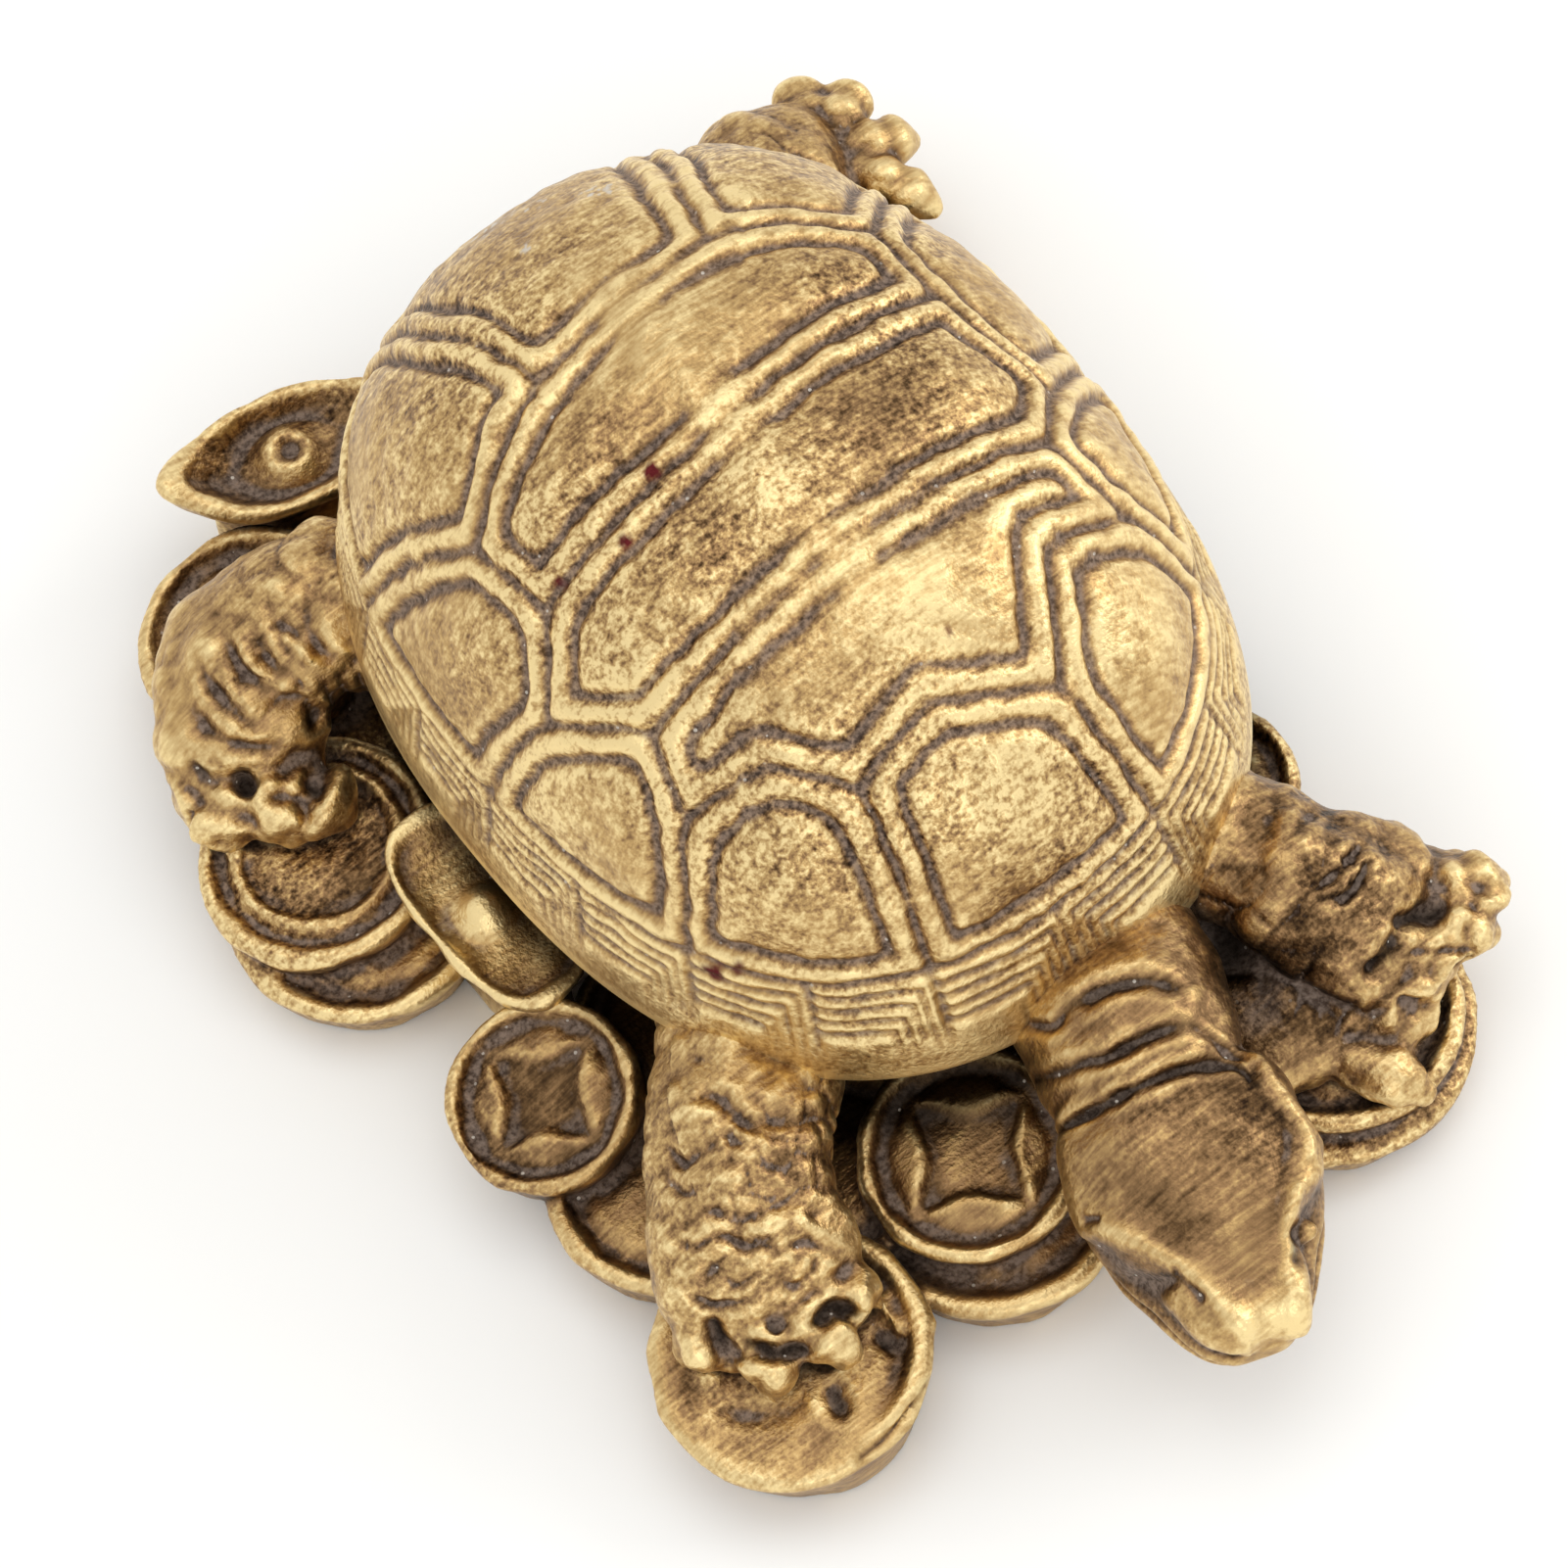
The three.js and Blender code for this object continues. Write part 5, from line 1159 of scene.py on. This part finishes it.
def patchesAt(points, patches):
    # sum of the patches: each its amount times a Gaussian of the distance from its place
    total = np.zeros(len(points))
    for x, y, z, radius, amount in patches:
        total += amount * np.exp(-((points - [x, y, z]) ** 2).sum(axis=1) / radius ** 2)
    return total


def roundsFor(reach, cell):
    # rounds of relaxing that spread a value over this reach, because it spreads as the square root of them
    return max(1, int(round(casting["spread"] * (reach / cell) ** 2)))


def finishMarks(kind, points, normals, pairs, cell):
    # how far a point lies below (hollow) or above (worn) the surface smoothed round it: the fine distance
    # and the coarse one along the normal, each times its gain, cut off at 1
    fine = relaxed(points, pairs, roundsFor(wear["fineReach"], cell))
    coarse = relaxed(fine, pairs, roundsFor(wear["coarseReach"], cell))
    dip = (wear["fineGain"][kind] * np.einsum("ij,ij->i", fine - points, normals)
           + wear["coarseGain"] * np.einsum("ij,ij->i", coarse - points, normals))
    return np.clip(dip, 0.0, 1.0), np.clip(-dip, 0.0, 1.0)


def stainsAt(points):
    # share of each stain: full within a ragged distance from its place on the dome, and the paste in grains
    shares = np.zeros((len(points), 2))
    stray, size = wear["stainWaver"]
    ragged = stray * waves(points, size, seed=81)
    for k, kind in enumerate(("redStains", "pasteStains")):
        for x, y, radius in wear[kind]:
            gap = np.linalg.norm(points - domePoints(np.array([x]), np.array([y])), axis=1) / radius
            shares[:, k] = np.maximum(shares[:, k], 1.0 - smoothStep(*wear["stainEdge"], gap + ragged))
    low, high, size = wear["pasteGrains"]
    shares[:, 1] *= smoothStep(low, high, waves(points, size, seed=83))
    return shares * (points[:, 2:] > wear["stainsAbove"])


def makePiece(name, kind, points, quads, triangles, hollow, worn, tone, deep):
    # a mesh with two attributes, each value from 0 to 1: hollow, worn, tone (partly painted light) and
    # painted shade; then lacquer, paste and sandiness
    points[:, 2] = np.maximum(points[:, 2], 0.0)
    mesh = meshFrom(name, points * mm, quads, triangles)
    stains = np.ones((len(points), 4))
    stains[:, :2] = stainsAt(points)
    stains[:, 2] = wear["sandiness"][kind]
    marked = np.clip(np.stack([hollow, worn, tone, deep], axis=-1), 0.0, 1.0)
    for title, values in (("finishAndPaintedLight", marked), ("stains", stains)):
        attribute = mesh.attributes.new(title, "FLOAT_COLOR", "POINT")
        attribute.data.foreach_set("color", values.astype(np.float32).ravel())
    piece = bpy.data.objects.new(name, mesh)
    bpy.context.scene.collection.objects.link(piece)
    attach(piece, "root")
    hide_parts("turtle")
    print(name, "made,", 2 * len(quads) + len(triangles), "triangles")
    return piece


def makeShell():
    # the carved dome: the softened relief moves the points along the smooth dome's normals
    points, normals, share, upper, quads, triangles = shellGrid()
    relief = np.zeros(len(points))
    onKeel = np.zeros(len(points))
    relief[upper], onKeel[upper] = shellRelief(points[upper], share[upper])
    pairs = edgePairs(quads, triangles)
    relief = relaxed(relief, pairs, carving["softening"])
    fade = 1.0 - smoothStep(*carving["rimFade"], share)
    points = points + normals * (relief * np.where(upper, fade, 0.0))[:, None]
    normals = pointNormals(points, quads, triangles)
    hollow, worn = finishMarks("shell", points, normals, pairs, carving["cell"])
    hollow = np.maximum(hollow, smoothStep(0.0, carving["hollowFrom"], -relief))
    hollow = relaxed(hollow, pairs, carving["markRounds"])
    start, edge = shell["bandStart"], wear["bandEdge"]
    onBand = smoothStep(start - edge, start + edge, share)
    # tone with the rubbed keel and the shell's patches, which are partly painted light
    tone = wear["tones"]["shell"] + wear["keelTone"] * onKeel
    tone = tone + patchesAt(points, wear["shellPatches"]) + wear["bandTone"] * onBand
    deep = np.zeros(len(points))
    return makePiece("turtle_shell", "shell", points, quads, triangles, hollow, worn, tone, deep)


def makeCasting(name, kind, parts, reliefOf):
    # skins fused in small cells, softened, given their relief, and marked for their finish and painted shade
    cell = casting["cells"][kind]
    points, quads, triangles = fused(parts, cell)
    pairs = edgePairs(quads, triangles)
    points = relaxed(points, pairs, roundsFor(casting["softening"], cell))
    normals = relaxed(pointNormals(points, quads, triangles), pairs, roundsFor(casting["evenness"], cell))
    normals = unit(normals)
    pits = pitShare(points)
    cuts, cutShade = marksAt(points, normals)
    points = points + normals * (reliefOf(points) + cuts - skinCarving["pitDepth"] * pits)[:, None]
    hollow, worn = finishMarks(kind, points, pointNormals(points, quads, triangles), pairs, cell)
    # painted shade: black low down under the shell's rim, in the pits and in the deep cuts
    shares, heights = wear["underShellShade"]
    shadeBelowRim = 1.0 - smoothStep(*shares, rimShare(points[:, 0], points[:, 1]))
    shadeBelowRim = shadeBelowRim * (1.0 - smoothStep(*heights, points[:, 2]))
    deep = wear["deepest"] * np.maximum(np.maximum(pits ** 2, cutShade), shadeBelowRim)
    # tone with the patches, among them painted highlights and painted shade
    tone = wear["tones"][kind] + patchesAt(points, wear["patches"])
    hollow = hollow + patchesAt(points, wear["greys"])
    return makePiece(name, kind, points, quads, triangles, hollow, worn, tone, deep)


def makeBody():
    # belly, legs with the feet and the skin round them, and the neck with the head
    feet = toes["feet"].values()
    folds = [toes["thumbClaw"], neck["web"], neck["heel"], neck["slope"]]
    legs = [limbSkin(part["path"], part["across"], part["upright"]) for part in list(limbs.values()) + folds]
    legs += [toeSkin(foot["joint"], tip, foot["stoutness"]) for foot in feet for tip in foot["tips"]]
    legs += [palmSkin(foot["joint"], foot["tips"]) for foot in feet if foot["palm"]]
    throat = [limbSkin(neck["path"], neck["across"], neck["upright"], count=90, sides=64), headSkin()]
    return [makeCasting("turtle_belly", "belly", [bellySkin()], lumpiness),
            makeCasting("turtle_legs", "legs", legs, legRelief),
            makeCasting("turtle_head", "head", throat, headAndNeckRelief)]


def metalUnevenness(points):
    # the slight dents of old coins: a sum of uneven fields
    return sum(rise * waves(points, size, seed) for rise, size, seed in coins["dents"])


def makePile():
    # both layers of coins, and the ingots
    lowerCoins = [{"at": [x, y, z], "radius": radius, "height": z, "lean": 0, "toward": 0}
                  for x, y, z, radius in coins["lower"]]
    discs = [coinSkin(coin) for coin in coins["upper"] + lowerCoins]
    boats = [ingotSkin(ingot) for ingot in ingots["places"]]
    return [makeCasting("coin_pile", "coins", discs, metalUnevenness),
            makeCasting("ingots", "ingots", boats, metalUnevenness)]


# materials

def colour(code):
    # an sRGB hex colour as the linear values that the shader takes
    values = np.array([int(code[k:k + 2], 16) for k in (1, 3, 5)]) / 255.0
    linear = np.where(values <= 0.04045, values / 12.92, ((values + 0.055) / 1.055) ** 2.4)
    return (*linear.tolist(), 1.0)


def addNode(tree, kind, settings, **links):
    # a node with its settings; each link names an input, or i and its number, and gives the socket or value
    # that feeds it
    node = tree.nodes.new(kind)
    for key, value in settings.items():
        setattr(node, key, value)
    for key, source in links.items():
        socket = node.inputs[int(key[1:]) if key[1:].isdigit() else key.replace("_", " ")]
        if isinstance(source, bpy.types.NodeSocket):
            tree.links.new(source, socket)
        else:
            socket.default_value = source
    return node


brass = {
    # share of brightness and the colour there
    "ramp": [[0.0, "#2D2016"], [0.22, "#5C452D"], [0.45, "#92724E"], [0.68, "#C2A06A"], [1.0, "#F3DAA0"]],
    # film colours, the black of painted shade in tight creases and deep cuts, specks, lacquer and paste
    "film": "#958274", "deepFilm": "#554337", "shadeColour": "#17120E", "speck": "#DAD3C7", "lacquer": "#5A2022",
    "paste": "#CFC6BA",
    # mm; sand of about 0.2 mm leaves grains and clusters of these sizes, and wire brushing the scratches,
    # which are drawn coarser than real ones so that they show
    "grainSize": 0.12, "sandSize": 0.3, "blotchSize": 3.2, "cloudSize": 6.0, "roughNoise": 0.6,
    "scratchWidth": 0.1, "scratchLength": 1.5, "scratchUpright": 0.4, "scratchTurns": [0.9, 2.3],   # radians
    "creaseReach": 1.6, "speckSpacing": 0.7, "speckRadius": 0.075,
    # how far each pattern moves the brightness
    "grainShares": [0.3, 1.6], "sandShare": 0.6, "blotchShare": 0.5, "polishShare": -0.45,
    "scratchShare": 0.4, "wornShare": 0.34, "hollowShare": -0.36,
    "cloudEdges": [0.4, 0.62],            # cloud from which and to which the cast grain comes in
    # openness (1 is open) over which a crease closes, and how much a closed one counts; the same for painted
    # black shade
    "creaseEdges": [0.75, 0.2], "creaseShare": 0.8, "blackEdges": [0.35, 0.1],
    # film: share of the sand in it, dullness from which and to which it comes in, and its share at most
    "filmSand": 0.6, "filmEdges": [0.68, 1.15], "filmShare": 0.72, "filmGrain": [0.35, 0.6],
    # at no film and at full film; gloss at no painted black shade and at full
    "roughness": [0.4, 0.8], "metallic": [1.0, 0.3], "gloss": [0.5, 0.05],
    "grainBump": [0.7, 0.07], "scratchBump": [0.5, 0.03],                       # strength, mm
}


def brassMaterial():
    # Sand-cast yellow brass, blackened with a brown-grey patina and then brushed: the high places are
    # bright, warm metal with fine scratches, the hollows keep a dull grey-brown film with white specks of
    # polishing paste, and the cast grain shows as brown mottling; tight creases, deep cuts and pits get
    # painted shade in black
    material = bpy.data.materials.new("brushed cast brass")
    material.use_nodes = True
    tree = material.node_tree
    tree.nodes.clear()
    subtract, multiply, multiplyAdd, maximum = (
        {"operation": name} for name in ("SUBTRACT", "MULTIPLY", "MULTIPLY_ADD", "MAXIMUM"))
    place = addNode(tree, "ShaderNodeTexCoord", {}).outputs["Object"]
    finishAndPaintedLight = addNode(tree, "ShaderNodeAttribute", {"attribute_name": "finishAndPaintedLight"})
    deep = finishAndPaintedLight.outputs["Alpha"]
    hollow, worn, tone = addNode(tree, "ShaderNodeSeparateColor", {}, Color=finishAndPaintedLight.outputs["Color"]).outputs
    stains = addNode(tree, "ShaderNodeAttribute", {"attribute_name": "stains"}).outputs["Color"]
    lacquer, paste, sandiness = addNode(tree, "ShaderNodeSeparateColor", {}, Color=stains).outputs
    crease = addNode(tree, "ShaderNodeAmbientOcclusion", {"samples": 6}, Distance=brass["creaseReach"] * mm)
    crease = crease.outputs["AO"]
    grain, sand, blotch, cloud = (
        addNode(tree, "ShaderNodeTexNoise", {}, Vector=place, Scale=0.5 / (brass[size] * mm), Detail=detail,
                Roughness=brass["roughNoise"]).outputs[0]
        for size, detail in (("grainSize", 2.0), ("sandSize", 2.0), ("blotchSize", 4.0), ("cloudSize", 2.0)))
    scratches = []
    for turn in brass["scratchTurns"]:
        turned = addNode(tree, "ShaderNodeMapping", {}, Vector=place, Rotation=(0.0, 0.0, turn),
                         Scale=(brass["scratchWidth"] / brass["scratchLength"], 1.0,
                                brass["scratchUpright"]))
        scratches.append(addNode(tree, "ShaderNodeTexNoise", {}, Vector=turned.outputs[0], Detail=2.0,
                                 Scale=0.5 / (brass["scratchWidth"] * mm)).outputs[0])
    spacing = brass["speckSpacing"]
    specks = addNode(tree, "ShaderNodeTexVoronoi", {}, Vector=place, Scale=1.0 / (spacing * mm))

    # brightness: tone plus each pattern's departure from its mean; where the cloud is dense the grain is
    # coarse and dark, and elsewhere the metal is polished
    (low, high), (least, most) = brass["cloudEdges"], brass["grainShares"]
    mottled = addNode(tree, "ShaderNodeMapRange", {}, Value=cloud, i1=low, i2=high, i3=least, i4=most)
    mottled = addNode(tree, "ShaderNodeMath", multiply, i0=mottled.outputs[0], i1=sandiness).outputs[0]
    sandy = addNode(tree, "ShaderNodeMath", multiply, i0=mottled, i1=brass["sandShare"]).outputs[0]
    level = tone
    for pattern, share in ((grain, mottled), (sand, sandy), (blotch, brass["blotchShare"]),
                           (cloud, brass["polishShare"]), (scratches[0], brass["scratchShare"]),
                           (scratches[1], brass["scratchShare"])):
        centred = addNode(tree, "ShaderNodeMath", subtract, i0=pattern, i1=0.5).outputs[0]
        level = addNode(tree, "ShaderNodeMath", multiplyAdd, i0=centred, i1=share, i2=level).outputs[0]
    for mark, share in ((worn, brass["wornShare"]), (hollow, brass["hollowShare"])):
        level = addNode(tree, "ShaderNodeMath", multiplyAdd, i0=mark, i1=share, i2=level).outputs[0]
    ramp = addNode(tree, "ShaderNodeValToRGB", {}, Fac=level)
    stops = ramp.color_ramp.elements
    while len(stops) < len(brass["ramp"]):
        stops.new(0.5)
    for stop, (share, code) in zip(stops, brass["ramp"]):
        stop.position = share
        stop.color = colour(code)

    # film in the hollows and creases, broken up by the sand; the black of painted shade, specks and stains
    # over it
    low, high = brass["creaseEdges"]
    closed = addNode(tree, "ShaderNodeMapRange", {}, Value=crease, i1=low, i2=high, i4=brass["creaseShare"])
    dull = addNode(tree, "ShaderNodeMath", maximum, i0=hollow, i1=closed.outputs[0]).outputs[0]
    dull = addNode(tree, "ShaderNodeMath", multiplyAdd, i0=sand, i1=brass["filmSand"], i2=dull).outputs[0]
    low, high = brass["filmEdges"]
    film = addNode(tree, "ShaderNodeMapRange", {}, Value=dull, i1=low, i2=high, i4=brass["filmShare"])
    film = film.outputs[0]
    low, high = brass["filmGrain"]
    lighter = addNode(tree, "ShaderNodeMapRange", {}, Value=grain, i1=low, i2=high).outputs[0]
    filmColour = addNode(tree, "ShaderNodeMix", {"data_type": "RGBA"}, i0=lighter,
                         i6=colour(brass["deepFilm"]), i7=colour(brass["film"])).outputs[2]
    # painted shade: black where the ambient occlusion finds a tight crease, and wherever the mesh is marked
    low, high = brass["blackEdges"]
    shadeShare = addNode(tree, "ShaderNodeMapRange", {}, Value=crease, i1=low, i2=high).outputs[0]
    shadeShare = addNode(tree, "ShaderNodeMath", maximum, i0=deep, i1=shadeShare).outputs[0]
    dot = addNode(tree, "ShaderNodeMath", {"operation": "LESS_THAN"}, i0=specks.outputs["Distance"],
                  i1=brass["speckRadius"] / spacing)
    dot = addNode(tree, "ShaderNodeMath", multiply, i0=dot.outputs[0], i1=film).outputs[0]
    base = ramp.outputs[0]
    for share, shade in ((film, filmColour), (shadeShare, colour(brass["shadeColour"])), (dot, colour(brass["speck"])),
                         (lacquer, colour(brass["lacquer"])), (paste, colour(brass["paste"]))):
        base = addNode(tree, "ShaderNodeMix", {"data_type": "RGBA"}, i0=share, i6=base, i7=shade).outputs[2]

    rough, metal, gloss = (
        addNode(tree, "ShaderNodeMapRange", {}, Value=share, i3=brass[name][0], i4=brass[name][1]).outputs[0]
        for name, share in (("roughness", film), ("metallic", film), ("gloss", shadeShare)))
    (strength, depth), (scratchStrength, scratchDepth) = brass["grainBump"], brass["scratchBump"]
    bump = addNode(tree, "ShaderNodeBump", {}, Strength=strength, Distance=depth * mm, Height=grain)
    bump = addNode(tree, "ShaderNodeBump", {}, Strength=scratchStrength, Distance=scratchDepth * mm,
                   Height=scratches[0], Normal=bump.outputs[0])
    shader = addNode(tree, "ShaderNodeBsdfPrincipled", {}, Base_Color=base, Metallic=metal, Roughness=rough,
                     Specular_IOR_Level=gloss, Normal=bump.outputs[0])
    addNode(tree, "ShaderNodeOutputMaterial", {}, Surface=shader.outputs[0])
    return material


def floorMaterial():
    # matt white laminate, as under a product shot: pale, even and without gloss
    material = bpy.data.materials.new("matt white laminate")
    material.use_nodes = True
    shader = material.node_tree.nodes["Principled BSDF"]
    shader.inputs["Base Color"].default_value = colour(studio["floor"][0])
    shader.inputs["Roughness"].default_value = studio["floor"][1]
    return material


# stage

studio = {
    "floorSize": 3000.0, "floor": ["#FAFAF8", 0.9],       # mm; colour and roughness
    "world": [0.94, "#FFFFFF"],                           # strength and colour
    # place (mm), size (mm), strength (W)
    "lamps": {
        "overhead": [[60.0, 40.0, 420.0], 300.0, 0.25],
        "right": [[380.0, -120.0, 220.0], 240.0, 0.45],
        "front": [[-120.0, -420.0, 260.0], 240.0, 0.25],
    },
}


def makeStage():
    # a wide floor at the height 0, square lamps that face the middle of the shell's rim, and an even world
    half = studio["floorSize"] / 2.0
    corners = np.array([[-half, -half, 0.0], [half, -half, 0.0], [half, half, 0.0], [-half, half, 0.0]])
    mesh = meshFrom("floor", corners * mm, np.array([[0, 1, 2, 3]]), np.empty((0, 3), int))
    floor = bpy.data.objects.new("floor", mesh)
    bpy.context.scene.collection.objects.link(floor)
    floor.data.materials.append(floorMaterial())
    for name, (place, size, strength) in studio["lamps"].items():
        data = bpy.data.lights.new(name, "AREA")
        data.size = size * mm
        data.energy = strength
        lamp = bpy.data.objects.new(name, data)
        bpy.context.scene.collection.objects.link(lamp)
        back = unit(np.array(place) - camera["rimMiddle"])
        right = unit(np.cross([0.0, 0.0, 1.0], back))
        turned = Matrix(np.column_stack([right, np.cross(back, right), back]).tolist()).to_4x4()
        lamp.matrix_world = Matrix.Translation((np.array(place) * mm).tolist()) @ turned
    world = bpy.data.worlds.new("studio")
    world.use_nodes = True
    background = world.node_tree.nodes["Background"]
    background.inputs["Color"].default_value = colour(studio["world"][1])
    background.inputs["Strength"].default_value = studio["world"][0]
    bpy.context.scene.world = world
    # keeps the floor white and the brass saturated
    bpy.context.scene.view_settings.view_transform = "Standard"


metal = brassMaterial()
for piece in [makeShell()] + makeBody() + makePile():
    piece.data.materials.append(metal)
makeStage()
print("stage set")
